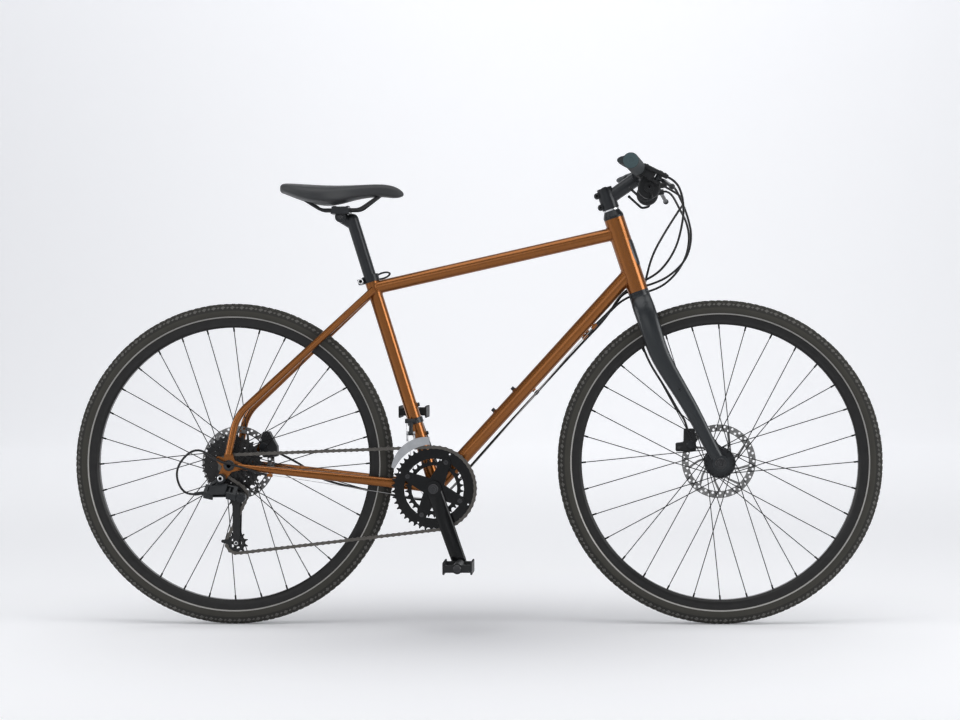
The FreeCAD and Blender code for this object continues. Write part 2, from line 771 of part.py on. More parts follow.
def thumb_lever(side):
    centre = pod_centre(side)
    low = centre + Y * (side * 11.4)
    hub = rod(low, low + Y * (side * 5.6), 11.0)
    start = centre + Y * (side * 14.2)
    points = [
        start,
        start + V(8, 0, -25),
        start + V(-12, side * 4, -29),
        start + V(-40, side * 8, -3),
    ]
    arm = cord(points, 10.0, 2.6)
    body = join([hub, arm, ball(points[-1], 3.4)])
    return body.cut(rod(centre, centre + Y * (side * 30), 4.0 + running_fit))


put("shifter_pods", shifter_pod(-1), shifter_pod(1))
put("shift_lever_right", thumb_lever(-1))
put("shift_lever_left", thumb_lever(1))


# Wheels: tyre, rim, spokes with nipples, hub and rotor
crown_r = wheel_radius
tube_r = tyre_width / 2
tyre_mid = crown_r - tube_r
seat_radius = tyre_mid - 19.0
rim_half = 12.5
rim_low = seat_radius - 14.5


def tyre(centre):
    arc_low = tyre_mid - 10.0
    outer_y = math.sqrt(tube_r ** 2 - 100.0)
    inner_r = tube_r - 3.2
    inner_y = math.sqrt(inner_r ** 2 - 100.0)
    lip = seat_radius + 7.2
    outer = Part.Arc(V(arc_low, -outer_y, 0), V(crown_r, 0, 0), V(arc_low, outer_y, 0)).toShape()
    inner = Part.Arc(V(arc_low, inner_y, 0), V(tyre_mid + inner_r - 1.2, 0, 0), V(arc_low, -inner_y, 0)).toShape()
    right = [V(arc_low, outer_y, 0), V(lip, 11.2, 0), V(lip, 10.2, 0), V(seat_radius, 10.2, 0),
             V(seat_radius, 7.2, 0), V(lip, 7.0, 0), V(arc_low, inner_y, 0)]
    left = [V(p.x, -p.y, 0) for p in reversed(right)]
    edges = [outer]
    edges += [Part.LineSegment(a, b).toShape() for a, b in zip(right, right[1:])]
    edges.append(inner)
    edges += [Part.LineSegment(a, b).toShape() for a, b in zip(left, left[1:])]
    solid = Part.Face(Part.Wire(edges)).revolve(V(0, 0, 0), Y, 360)
    solid.translate(centre)
    return solid


def rim_blank():
    s = seat_radius
    right = [(rim_low, 7.0), (s - 10.0, 11.0), (s - 5.0, rim_half), (s + 6.6, rim_half),
             (s + 6.6, 10.5), (s, 10.5), (s, 6.4), (s - 4.5, 5.4)]
    left = [(r, -y) for r, y in reversed(right)]
    return lathe(right + left, V(0, 0, 0))


def spoke_set(flanges):
    """Spokes of one wheel about the origin, laced over three crossings."""
    per_side = spoke_count // 2
    step = 360.0 / per_side
    cross = 3 * step
    spokes = []
    nipples = []
    drills = []
    for index, flange_y in enumerate(flanges):
        outward = 1 if flange_y > 0 else -1
        for lead in (0, 1):
            turn = cross if lead else -cross
            face = 5.1 * outward if lead else -2.85 * outward
            across = 1 if face > 0 else -1
            hub_angle = math.radians(index * step / 2 + lead * step)
            rim_angle = hub_angle + math.radians(turn)
            start = V(flange_hole_radius * math.cos(hub_angle), flange_y + face,
                      flange_hole_radius * math.sin(hub_angle))
            rim_y = 1.5 if flange_y > 0 else -1.5
            target = V(rim_low * math.cos(rim_angle), rim_y, rim_low * math.sin(rim_angle))
            heading = unit(target - start)
            stop = target + heading * 0.5
            deep = target + heading * 3.5
            back = target - heading * 9.0
            thread = rod(start, stop, spoke_radius)
            stub = rod(V(start.x, flange_y - across * 2.6, start.z), start, spoke_radius)
            head = rod(V(start.x, flange_y - across * 2.8, start.z), V(start.x, flange_y - across * 1.66, start.z), 1.9)
            spoke = join([thread, stub, head, ball(start, spoke_radius)])
            nipple = rod(back, deep, 1.9).cut(rod(back, stop, spoke_radius))
            drill = rod(back, deep, 2.0)
            for k in range(per_side // 2):
                angle = -k * step * 2
                spokes.append(turned(spoke, V(0, 0, 0), Y, angle))
                nipples.append(turned(nipple, V(0, 0, 0), Y, angle))
                drills.append(turned(drill, V(0, 0, 0), Y, angle))
    return spokes, nipples, drills


def drill_flanges(hub, flanges):
    per_side = spoke_count // 2
    holes = []
    for index, flange_y in enumerate(flanges):
        for k in range(per_side):
            angle = math.radians((index * 0.5 + k) * 360.0 / per_side)
            at = V(flange_hole_radius * math.cos(angle), flange_y - 2.2, flange_hole_radius * math.sin(angle))
            holes.append(rod(at, at + Y * 4.4, spoke_radius + 0.25))
    return hub.cut(Part.makeCompound(holes))


def rotor(y):
    """Brake disc with curved arms and a ring of vent holes."""
    wires = [loop(rotor_radius, V(0, 0, 0))]
    arms = 9
    step = 2 * math.pi / arms
    low = 25.0
    high = rotor_radius - 15.0
    skew = 0.55
    for k in range(arms):
        first = step * k
        points = []
        for share in (0.0, 0.25, 0.5, 0.75, 1.0):
            angle = first + 0.045 + skew + (step - 0.09) * share
            points.append(V(high * math.cos(angle), 0, high * math.sin(angle)))
        middle = (low + high) / 2
        angle = first + step - 0.06 + skew * 0.62
        points.append(V(middle * math.cos(angle), 0, middle * math.sin(angle)))
        for share in (1.0, 0.5, 0.0):
            angle = first + 0.10 + (step - 0.20) * share
            points.append(V(low * math.cos(angle), 0, low * math.sin(angle)))
        angle = first + 0.06 + skew * 0.62
        points.append(V(middle * math.cos(angle), 0, middle * math.sin(angle)))
        wires.append(polygon(points))
    for k in range(27):
        angle = 2 * math.pi * k / 27
        for radius, shift in ((rotor_radius - 4.6, 0.0), (rotor_radius - 10.6, 0.1)):
            at = V(radius * math.cos(angle + shift), 0, radius * math.sin(angle + shift))
            wires.append(loop(2.5, at))
    wires.append(loop(17.5, V(0, 0, 0)))
    disc = sheet(wires, y - rotor_thickness / 2, rotor_thickness)
    return disc


front_flanges = (21.0, -34.0)
rear_flanges = (34.0, -20.0)
rotor_front_y = fork_y - 15.0
bearing_r = 10.0
hub_bore = axle_r + running_fit


def wheel(name, centre, flanges, rotor_y, outline, bearing_spots):
    spokes, nipples, drills = spoke_set(flanges)
    rim = rim_blank().cut(Part.makeCompound(drills))
    hub = drill_flanges(lathe(outline, V(0, 0, 0)), flanges)
    bearings = [pipe(Y * low, Y * high, bearing_r, hub_bore) for low, high in bearing_spots]
    disc = rotor(rotor_y)
    for shape in [rim, hub, disc] + spokes + nipples + bearings:
        shape.translate(centre)
    put(name + "_tyre", tyre(centre))
    put(name + "_rim", rim)
    put(name + "_spokes", *spokes, *nipples)
    put(name + "_hub", hub, *bearings)
    put(name + "_rotor", disc)


def hub_outline(low, high, flanges, rotor_y):
    """Half section of a hub shell from y = low to y = high."""
    seat = rotor_y - rotor_thickness / 2
    right = min(flanges)
    left = max(flanges)
    edge = flange_hole_radius + 4.0
    return [
        (bearing_r, low), (14.0, low), (16.0, right - 3.5), (22.0, right - 1.6), (edge, right - 1.6),
        (edge, right + 1.6), (22.0, right + 1.6), (17.0, right + 4.5), (14.0, (right + left) / 2),
        (17.0, left - 4.5), (22.0, left - 1.6), (edge, left - 1.6), (edge, left + 1.6), (22.0, left + 1.6),
        (20.0, left + 4.0), (24.0, seat - 4.0), (24.0, seat), (17.4, seat),
        (17.4, seat + 3.6), (14.0, seat + 3.6), (14.0, high), (bearing_r, high),
    ]


front_outline = hub_outline(-fork_y + 6, fork_y - 6, front_flanges, rotor_front_y)
wheel("front", front_axle, front_flanges, rotor_front_y, front_outline,
      ((-fork_y + 6, -fork_y + 14), (fork_y - 14, fork_y - 6)))
cassette_in = first_cog_y + cog_spacing * (len(cog_teeth) - 1) + 4.0
rear_outline = hub_outline(cassette_in + 1.2, drop_y - 6, rear_flanges, rotor_rear_y)
wheel("rear", rear_axle, rear_flanges, rotor_rear_y, rear_outline,
      ((cassette_in + 1.2, cassette_in + 9), (drop_y - 14, drop_y - 6)))

# Through axles with their end spacers and heads
front_core = rod(front_axle - Y * (fork_y + 13), front_axle + Y * (fork_y + 13), axle_r)
front_caps = []
for side in (-1, 1):
    low = front_axle + Y * (side * (fork_y - 5.6))
    front_caps.append(rod(low, front_axle + Y * (side * fork_y), 9.5))
front_caps.append(rod(front_axle - Y * (fork_y + 13), front_axle - Y * (fork_y + 17), 9.0))
front_caps.append(rod(front_axle + Y * (fork_y + 13), front_axle + Y * (fork_y + 18), 10.0))
put("front_axle", join([front_core] + front_caps))
far = drop_y + dropout_thickness
rear_core = rod(rear_axle - Y * far, rear_axle + Y * far, axle_r)
rear_caps = [
    rod(rear_axle - Y * far, rear_axle - Y * (far + 4), 9.0),
    rod(rear_axle + Y * far, rear_axle + Y * (far + 5), 10.0),
    rod(rear_axle + Y * (drop_y - 5.6), rear_axle + Y * drop_y, 9.5),
    rod(rear_axle - Y * (drop_y - 1.6), rear_axle - Y * drop_y, 9.5),
]
put("rear_axle", join([rear_core] + rear_caps))


# Disc brake calipers with their pads
def caliper(axle, rotor_y, toward, inside, outside, outline):
    aim = unit(V(toward.x - axle.x, 0, toward.z - axle.z))
    frame = FreeCAD.Rotation(aim, Y, aim.cross(Y), "XYZ")
    spot = V(axle.x, rotor_y, axle.z)
    side_line = polygon([V(toward.x + x, rotor_y - inside, toward.z + z) for x, z in outline])
    block = Part.Face(side_line).extrude(Y * (inside + outside))
    corners = [e for e in block.Edges if abs(e.tangentAt(e.FirstParameter).y) > 0.9]
    block = block.makeFillet(3.0, corners)
    slot = rod(spot - Y * 3.0, spot + Y * 3.0, rotor_radius + 2.0)
    body = block.cut(slot)
    pads = []
    for low in (-3.0, 1.4):
        pad = Part.makeBox(16, 1.6, 28, V(rotor_radius - 16.5, low, -14))
        pad.Placement = FreeCAD.Placement(spot, frame)
        pads.append(pad)
    return body, pads


rear_line = ((-12.5, -7), (-5.5, -27), (26.5, -25), (25.5, -3), (8, 30), (-6, 30))
rear_body, rear_pads = caliper(rear_axle, rotor_rear_y, rear_caliper_at, 13.0, 15.0, rear_line)
put("rear_caliper", max(rear_body.Solids, key=lambda s: s.Volume), *rear_pads)
front_caliper_at = front_axle + V(-62, 0, 42)
front_line = ((-31, -20), (13, -20), (13, 8), (10, 29), (-13, 29), (-14, 0), (-31, -2))
front_body, front_pads = caliper(front_axle, rotor_front_y, front_caliper_at, 10.6, 16.0, front_line)
front_body = front_body.cut(nodes["fork"])
put("front_caliper", max(front_body.Solids, key=lambda s: s.Volume), *front_pads)


# Sprockets: seats for the chain rollers with tapered teeth between
roller_r = 3.88


def pitch_radius(teeth):
    return chain_pitch / (2 * math.sin(math.pi / teeth))


def toothed_wire(teeth, centre, phase):
    radius = pitch_radius(teeth)
    seat = roller_r + 0.2
    tip = radius + 2.5
    open_angle = math.radians(62)
    edges = []
    first = None
    last = None
    for k in range(teeth):
        a = phase + 2 * math.pi * k / teeth
        middle = V(radius * math.cos(a), 0, radius * math.sin(a))
        spots = []
        for lean in (open_angle, 0.0, -open_angle):
            heading = a + math.pi + lean
            spots.append(middle + V(math.cos(heading), 0, math.sin(heading)) * seat)
        m = a + math.pi / teeth
        crest = V(tip * math.cos(m), 0, tip * math.sin(m))
        tangent = V(-math.sin(m), 0, math.cos(m))
        crest_a = crest - tangent * 1.1
        crest_b = crest + tangent * 1.1
        if first is None:
            first = spots[0]
        else:
            edges.append(Part.LineSegment(last, spots[0]).toShape())
        edges.append(Part.Arc(*spots).toShape())
        edges.append(Part.LineSegment(spots[2], crest_a).toShape())
        edges.append(Part.LineSegment(crest_a, crest_b).toShape())
        last = crest_b
    edges.append(Part.LineSegment(last, first).toShape())
    wire = Part.Wire(edges)
    wire.translate(centre)
    return wire


# Chain line over the ring, the two pulleys and the smallest cog
flat = (rear_axle.x, rear_axle.z)
cage_pivot = V(rear_axle.x + 26.5, 0, rear_axle.z - 68.0)
guide_reach = 12.6
tension_reach = 100.0
guide_turn = math.radians(-100.4)
circles = ("ring", "tension", "guide", "cog")


def wrap_points(cage):
    tension = V(cage_pivot.x + tension_reach * math.cos(cage), 0, cage_pivot.z + tension_reach * math.sin(cage))
    turn = cage + guide_turn
    guide_at = V(cage_pivot.x + guide_reach * math.cos(turn), 0, cage_pivot.z + guide_reach * math.sin(turn))
    small = pitch_radius(pulley_teeth)
    return [
        (bb, pitch_radius(big_ring_teeth), big_ring_teeth, 1, big_ring_y),
        (tension, small, pulley_teeth, 1, first_cog_y),
        (guide_at, small, pulley_teeth, -1, first_cog_y),
        (rear_axle, pitch_radius(cog_teeth[0]), cog_teeth[0], 1, first_cog_y),
    ]


def chain_path(cage):
    """List of runs: ('line', p, q, y0, y1) and ('arc', centre, r, start, sweep, teeth, y)."""
    wraps = wrap_points(cage)
    tangents = []
    count = len(wraps)
    for k in range(count):
        c1, r1, n1, s1, y1 = wraps[k]
        c2, r2, n2, s2, y2 = wraps[(k + 1) % count]
        dx = c2.x - c1.x
        dz = c2.z - c1.z
        gap = math.hypot(dx, dz)
        heading = math.atan2(dz, dx) - math.asin((s1 * r1 - s2 * r2) / gap)
        nx = -math.sin(heading)
        nz = math.cos(heading)
        leave = V(c1.x + s1 * r1 * nx, 0, c1.z + s1 * r1 * nz)
        reach = V(c2.x + s2 * r2 * nx, 0, c2.z + s2 * r2 * nz)
        tangents.append((leave, reach, y1, y2))
    runs = []
    for k in range(count):
        centre, radius, teeth, sense, y = wraps[k]
        arrive = tangents[k - 1][1]
        leave = tangents[k][0]
        a_in = math.atan2(arrive.z - centre.z, arrive.x - centre.x)
        a_out = math.atan2(leave.z - centre.z, leave.x - centre.x)
        if sense > 0:
            sweep = -((a_in - a_out) % (2 * math.pi))
        else:
            sweep = (a_out - a_in) % (2 * math.pi)
        runs.append(("arc", centre, radius, a_in, sweep, teeth, y))
        runs.append(("line",) + tangents[k])
    return runs


def run_length(run):
    if run[0] == "arc":
        return abs(run[4]) * run[5] * chain_pitch / (2 * math.pi)
    return (run[2] - run[1]).Length


def path_length(cage):
    return sum(run_length(run) for run in chain_path(cage))


cage_rest = math.radians(-98.0)
wanted = 2 * round(path_length(cage_rest) / chain_pitch / 2)
low_angle = cage_rest - math.radians(14)
high_angle = cage_rest + math.radians(14)
target_length = wanted * chain_pitch
rising = path_length(high_angle) > path_length(low_angle)
for step in range(60):
    cage_angle = (low_angle + high_angle) / 2
    longer = path_length(cage_angle) > target_length
    if longer == rising:
        high_angle = cage_angle
    else:
        low_angle = cage_angle
runs = chain_path(cage_angle)
link_count = wanted
clear_run = 28.0


def chain_point(distance):
    for run in runs:
        length = run_length(run)
        if distance <= length:
            share = distance / length
            if run[0] == "arc":
                a = run[3] + run[4] * share
                return V(run[1].x + run[2] * math.cos(a), run[6], run[1].z + run[2] * math.sin(a))
            at = run[1] + (run[2] - run[1]) * share
            lean = share
            if length > 4 * clear_run:
                lean = (distance - clear_run) / (length - 2 * clear_run)
                lean = min(max(lean, 0.0), 1.0)
            return V(at.x, run[3] + (run[4] - run[3]) * lean, at.z)
        distance -= length
    return chain_point(0.0)


total = sum(run_length(run) for run in runs)
pins = [chain_point((k * total / link_count + 3.0) % total) for k in range(link_count)]


def seat_phase(centre, teeth):
    """Angle of a tooth gap that matches the roller best seated on a sprocket."""
    radius = pitch_radius(teeth)
    best = min(pins, key=lambda p: abs(math.hypot(p.x - centre.x, p.z - centre.z) - radius))
    close = [p for p in pins if abs(math.hypot(p.x - centre.x, p.z - centre.z) - radius) < 0.0005]
    best = close[len(close) // 2] if close else best
    return math.atan2(best.z - centre.z, best.x - centre.x)


def plate_wire(end_r, waist):
    left = [V(end_r * math.cos(math.radians(a)), 0, end_r * math.sin(math.radians(a))) for a in (70, 180, 290)]
    right = [V(chain_pitch + end_r * math.cos(math.radians(a)), 0, end_r * math.sin(math.radians(a)))
             for a in (250, 0, 110)]
    low = V(chain_pitch / 2, 0, -waist)
    high = V(chain_pitch / 2, 0, waist)
    return Part.Wire([
        Part.Arc(*left).toShape(),
        Part.Arc(left[2], low, right[0]).toShape(),
        Part.Arc(*right).toShape(),
        Part.Arc(right[2], high, left[0]).toShape(),
    ])


pin_r = 1.75
pin_hole = 1.98
ends = (V(0, 0, 0), V(chain_pitch, 0, 0))
holes = [loop(pin_hole, at) for at in ends]
inner_plate = sheet([plate_wire(4.0, 2.9)] + holes, 1.2, 0.9)
inner_other = sheet([plate_wire(4.0, 2.9)] + holes, -2.1, 0.9)
rollers = [pipe(at - Y * 1.2, at + Y * 1.2, roller_r, pin_hole) for at in ends]
inner_link = join([inner_plate, inner_other] + rollers)
outer_plate = sheet([plate_wire(4.0, 2.9)], 2.3, 0.8)
outer_other = sheet([plate_wire(4.0, 2.9)], -3.1, 0.8)
rivets = [rod(at - Y * 3.3, at + Y * 3.3, pin_r) for at in ends]
outer_link = join([outer_plate, outer_other] + rivets)
links = []
for k in range(link_count):
    here = pins[k]
    there = pins[(k + 1) % link_count]
    ahead = unit(there - here)
    across = unit(Y - ahead * Y.dot(ahead))
    link = (inner_link if k % 2 else outer_link).copy()
    slack = ((there - here).Length - chain_pitch) / 2
    frame = FreeCAD.Rotation(ahead, across, ahead.cross(across), "XYZ")
    link.Placement = FreeCAD.Placement(here + ahead * slack, frame)
    links.append(link)
put("chain", *links)

# Cassette on its freehub body
hub_body_r = 17.4
cassette = []
for k, teeth in enumerate(cog_teeth):
    y = first_cog_y + cog_spacing * k
    phase = seat_phase(rear_axle, teeth) if k == 0 else 0.13 * k
    wires = [toothed_wire(teeth, V(0, 0, 0), phase), loop(hub_body_r, V(0, 0, 0))]
    inside = pitch_radius(teeth) - 8.5
    if inside > 30:
        spots = 6 if inside < 45 else 8
        middle = (inside + 23.0) / 2
        size = (inside - 23.0) / 2
        for j in range(spots):
            a = 2 * math.pi * (j + 0.5 * (k % 2)) / spots
            wires.append(loop(min(size, middle * math.sin(math.pi / spots) - 1.6),
                              V(middle * math.cos(a), 0, middle * math.sin(a))))
    cog = sheet(wires, y - sprocket_thickness / 2, sprocket_thickness)
    cassette.append(cog)
    if k:
        gap_low = y - cog_spacing + sprocket_thickness / 2
        cassette.append(pipe(Y * gap_low, Y * (y - sprocket_thickness / 2), 18.2, hub_body_r))
first_face = first_cog_y - sprocket_thickness / 2
freehub = pipe(Y * first_face, Y * cassette_in, hub_body_r, axle_r + 4.0)
lockring = pipe(Y * (first_face - 2.4), Y * first_face, 18.0, axle_r + 4.0)
freehub_bearing = pipe(Y * (first_face + 2), Y * (first_face + 12), axle_r + 4.0, hub_bore)
freehub_bearing_b = pipe(Y * (cassette_in - 10), Y * cassette_in, axle_r + 4.0, hub_bore)
cassette += [freehub, lockring, freehub_bearing, freehub_bearing_b]
for piece in cassette:
    piece.translate(rear_axle)
put("cassette", *cassette)

# Crankset
crank_lean = math.radians(crank_angle)
crank_way = V(math.cos(crank_lean), 0, math.sin(crank_lean))
crank_side = crank_way.cross(Y)
hub_near = 46.0
arm_hub_y = 64.0
arm_end_y = 80.0
pedal_r = 7.0


def crank_arm(way, side):
    sections = ((0.04, arm_hub_y, 17.0, 8.0), (0.35, arm_hub_y + 3, 16.5, 7.5),
                (0.7, arm_end_y - 4, 16.0, 6.8), (0.97, arm_end_y, 15.5, 6.5))
    wires = []
    across = way.cross(Y)
    for share, y, half_wide, half_thick in sections:
        at = bb + way * (crank_length * share) + Y * (side * y)
        wires.append(oval(at, across * half_wide, Y * half_thick))
    arm = loft(wires)
    hub = rod(bb + Y * (side * (hub_near + 0.6)), bb + Y * (side * (arm_hub_y + 8.5)), 17.5)
    end = bb + way * crank_length
    boss = rod(end + Y * (side * (arm_end_y - 7)), end + Y * (side * (arm_end_y + 7)), 15.3)
    return join([arm, hub, boss]), end


right_arm, right_end = crank_arm(crank_way, -1)
left_arm, left_end = crank_arm(crank_way * -1, 1)
spider = []
spider_angles = [crank_lean + math.radians(45 + 90 * k) for k in range(4)]
bolt_radius = 62.0
arm_back = big_ring_y - sprocket_thickness / 2
for a in spider_angles:
    tip = bb + V(math.cos(a), 0, math.sin(a)) * bolt_radius
    spider.append(capsule(bb, tip, 19.0, 10.5, arm_back - 6.0, 6.0))
spindle = rod(bb - Y * (arm_hub_y - 2), bb + Y * (arm_hub_y + 4), spindle_r)
right_crank = join([right_arm, spindle] + spider)
right_crank = right_crank.cut(rod(right_end - Y * 100, right_end, pedal_r))
left_crank = left_arm.cut(rod(bb, bb + Y * (arm_hub_y + 4), spindle_r))
left_crank = left_crank.cut(rod(left_end, left_end + Y * 100, pedal_r))
axle_tip = pedal_reach + 44.0
pedal_axles = []
for end, side in ((right_end, -1), (left_end, 1)):
    core = rod(end + Y * (side * (arm_end_y - 7)), end + Y * (side * (arm_end_y + 9)), pedal_r)
    long = rod(end + Y * (side * (arm_end_y + 7)), end + Y * (side * axle_tip), 4.5)
    collar_ring = rod(end + Y * (side * (arm_end_y + 7)), end + Y * (side * (arm_end_y + 9.5)), 8.6)
    pedal_axles.append(join([core, long, collar_ring]))
put("right_crank", right_crank, pedal_axles[0])
put("left_crank", left_crank, pedal_axles[1])


def chainring(teeth, y, band, turn):
    wires = [toothed_wire(teeth, V(0, 0, 0), turn)]
    outer = pitch_radius(teeth)
    inside = outer - band
    tab_in = bolt_radius - 8.0
    points = []
    arms = spider_angles
    for a in arms:
        half_tab = 11.0 / inside
        for shift, radius in ((-half_tab, inside), (-half_tab * 0.8, min(tab_in, inside)),
                              (half_tab * 0.8, min(tab_in, inside)), (half_tab, inside)):
            points.append((a + shift, radius))
        gap = math.pi / 2 - 2 * half_tab
        for share in (0.2, 0.4, 0.6, 0.8):
            points.append((a + half_tab + gap * share, inside))
    wires.append(polygon([V(r * math.cos(a), 0, r * math.sin(a)) for a, r in points]))
    for a in arms:
        spot = min(bolt_radius, outer - 8.0)
        if teeth == big_ring_teeth:
            wires.append(loop(1.8, V((outer - 8) * math.cos(a), 0, (outer - 8) * math.sin(a))))
    ring = sheet(wires, y - sprocket_thickness / 2, sprocket_thickness)
    ring.translate(bb)
    return ring


big_ring = chainring(big_ring_teeth, big_ring_y, 24.5, seat_phase(bb, big_ring_teeth))
small_ring = chainring(small_ring_teeth, small_ring_y, 11.5, 0.0)
posts = []
for a in spider_angles:
    at = bb + V(math.cos(a), 0, math.sin(a)) * 52.5
    front_face = big_ring_y + sprocket_thickness / 2
    back_face = small_ring_y - sprocket_thickness / 2
    posts.append(rod(V(at.x, front_face, at.z), V(at.x, back_face, at.z), 4.5))
big_tabs = []
for a in spider_angles:
    at = bb + V(math.cos(a), 0, math.sin(a)) * 52.5
    low = V(at.x, big_ring_y - sprocket_thickness / 2, at.z)
    big_tabs.append(rod(low, low + Y * sprocket_thickness, 5.5))
big_ring = join([big_ring] + big_tabs)
put("chainrings", big_ring, small_ring, *posts)


# Pedals with serrated cages
def pedal(end, side):
    inner_y = arm_end_y + 10.2
    outer_y = axle_tip + 2.0
    barrel = rod(end + Y * (side * inner_y), end + Y * (side * outer_y), 11.0)
    barrel = barrel.cut(rod(end, end + Y * (side * axle_tip), 4.5 + running_fit))
    pieces = [barrel]
    low_y = min(side * (inner_y + 2), side * outer_y)
    span = outer_y - inner_y - 2
    teeth = 9
    for x in (-31.0, 27.5):
        points = []
        for k in range(teeth * 2 + 1):
            points.append(V(x, low_y + span * k / (teeth * 2), 10.0 + (3.0 if k % 2 else 0.0)))
        bottom = [V(p.x, p.y, -p.z) for p in reversed(points)]
        wall = Part.Face(polygon(points + bottom)).extrude(V(3.5, 0, 0))
        wall.translate(end)
        pieces.append(wall)
    for y in (inner_y + 2, outer_y - 5):
        rail = Part.makeBox(58.5, 5, 16, V(end.x - 29.5, side * y if side > 0 else -y - 5, end.z - 8))
        pieces.append(rail)
    body = join(pieces)
    return body.cut(rod(end, end + Y * (side * axle_tip), 4.5 + running_fit))


put("pedal_right", pedal(right_end, -1))
put("pedal_left", pedal(left_end, 1))

# Rear derailleur
shift_slant = math.radians(40.0)
hang_y = -drop_y - dropout_thickness
knuckle_at = V(hanger.x, hang_y, hanger.z)
link_root = V(rear_axle.x - 37.0, -79.0, rear_axle.z - 54.0)
link_flat = unit(V(44.0, 0, -10.0))
link_down = V(link_flat.z, 0, -link_flat.x)
link_swing = Y * math.cos(shift_slant) + link_down * math.sin(shift_slant)
link_axis = link_flat.cross(link_swing)
link_axis = unit(link_axis)
link_length = 42.0
link_start = math.radians(-22.0)
link_way = link_flat * math.cos(link_start) + link_swing * math.sin(link_start)
pin_gap = link_swing * -13.0
outer_root = link_root
inner_root = link_root + link_swing * 13.0
outer_tip = outer_root + link_way * link_length
inner_tip = inner_root + link_way * link_length
link_half = 7.0


def rd_link(root, tip, thick):
    """Flat bar between two pins of the derailleur."""
    way = unit(tip - root)
    across = link_axis.cross(way)
    body = Part.makeBox((tip - root).Length, thick, 2 * link_half, V(0, -thick / 2, -link_half))
    body.Placement = FreeCAD.Placement(root, FreeCAD.Rotation(way, across, link_axis, "XYZ"))
    for spot in (root, tip):
        body = body.fuse(rod(spot - link_axis * link_half, spot + link_axis * link_half, thick / 2 + 1.2))
    body = body.removeSplitter()
    for spot in (root, tip):
        body = body.cut(rod(spot - link_axis * 20, spot + link_axis * 20, 1.5 + running_fit))
    return body


def rd_cover():
    """Broad cover on the outer side of the outer link, clear of both knuckles through the whole swing."""
    way = unit(outer_tip - outer_root)
    across = link_axis.cross(way)
    if across.dot(link_swing) > 0:
        across = across * -1
    frame = FreeCAD.Rotation(way, across, way.cross(across), "XYZ")
    tall = way.cross(across).dot(link_axis)
    low = -16.0 if tall > 0 else -6.0
    panel_low = -17.0 if tall > 0 else -10.5
    panel = Part.makeBox(link_length - 17, 3.2, 27.5, V(14, 7.6, panel_low))
    root_panel = Part.makeBox(16, 3.2, 22, V(-2, 7.6, low))
    rib = Part.makeBox(link_length - 12, 6.5, 2 * link_half - 1.2, V(6, 1.5, -link_half + 0.6))
    shape = join([panel, root_panel, rib])
    shape.Placement = FreeCAD.Placement(outer_root, frame)
    return shape


put("rd_outer_link", join([rd_link(outer_root, outer_tip, 4.0), rd_cover()]))
put("rd_inner_link", rd_link(inner_root, inner_tip, 4.0))


def yoke(first, second, away):
    """Two plates with link pins between them, closed by a spine on the side of away."""
    way = unit(second - first)
    across = link_axis.cross(way)
    flip = 1 if across.dot(away) > 0 else -1
    frame = FreeCAD.Rotation(way, across, link_axis, "XYZ")
    gap = (second - first).Length
    low_y = -5.0 if flip > 0 else -16.0
    pieces = []
    for low in (link_half + 0.4, -link_half - 3.9):
        pieces.append(Part.makeBox(gap + 10, 21, 3.5, V(-5, low_y, low)))
    spine_y = 8.5 if flip > 0 else -16.0
    pieces.append(Part.makeBox(gap + 10, 7.5, 2 * link_half + 7.8, V(-5, spine_y, -link_half - 3.9)))
    far = link_half + 1.0
    for x in (0, gap):
        pieces.append(rod(V(x, 0, -far), V(x, 0, far), 1.5))
    body = join(pieces)
    body.Placement = FreeCAD.Placement(first, frame)
    return body


back_shift = unit(outer_root - outer_tip)
root_mid = (outer_root + inner_root) * 0.5
back_mid = root_mid + back_shift * 12.0
knuckle_bolt = V(hanger.x, hang_y - 15, hanger.z)
boss = rod(knuckle_at, knuckle_bolt, 10.0)
arm = rod(V(hanger.x, hang_y - 10, hanger.z), outer_root + back_shift * 11 + link_axis * 9.5, 4.5)
bolt = rod(V(hanger.x, -drop_y - 0.2, hanger.z), knuckle_at + Y * -4, 4.2)
barrel_way = unit(V(-1.0, -0.1, -0.1))
barrel_tip = back_mid + barrel_way * 26.0
barrel = rod(back_mid, barrel_tip, 4.0)
rd_knuckle = join([yoke(outer_root, inner_root, back_shift), boss, arm, bolt, barrel])
put("rd_knuckle", max(rd_knuckle.Solids, key=lambda s: s.Volume))

# Derailleur cage, its knuckle and the two pulleys
cage_wraps = wrap_points(cage_angle)
tension_at = cage_wraps[1][0]
guide_at = cage_wraps[2][0]
plate_gap = 5.6
plate_thick = 1.6
outer_face = first_cog_y - plate_gap - plate_thick
cage_mount = V(cage_pivot.x, outer_face, cage_pivot.z)
housing_far = V(cage_pivot.x, outer_face - 20.0, cage_pivot.z)
housing = rod(V(cage_pivot.x, outer_face - 0.4, cage_pivot.z), housing_far, 11.0)
tip_mid = (outer_tip + inner_tip) * 0.5
front_shift = unit(outer_tip - outer_root)
tip_spine_mid = tip_mid + front_shift * 12.0
hold = rod(tip_spine_mid, V(cage_pivot.x, outer_face - 13, cage_pivot.z), 6.0)
p_pin = rod(V(cage_pivot.x, outer_face - 10, cage_pivot.z), V(cage_pivot.x, outer_face + plate_thick, cage_pivot.z), 4.0)
rd_p = join([yoke(outer_tip, inner_tip, front_shift), housing, hold, p_pin])
put("rd_p_knuckle", max(rd_p.Solids, key=lambda s: s.Volume))


def cage_plate(y, r_top, r_low):
    pieces = [capsule(guide_at, tension_at, r_top, r_low, y, plate_thick)]
    pieces.append(capsule(guide_at, cage_pivot, r_top, 9.0, y, plate_thick))
    return join(pieces)


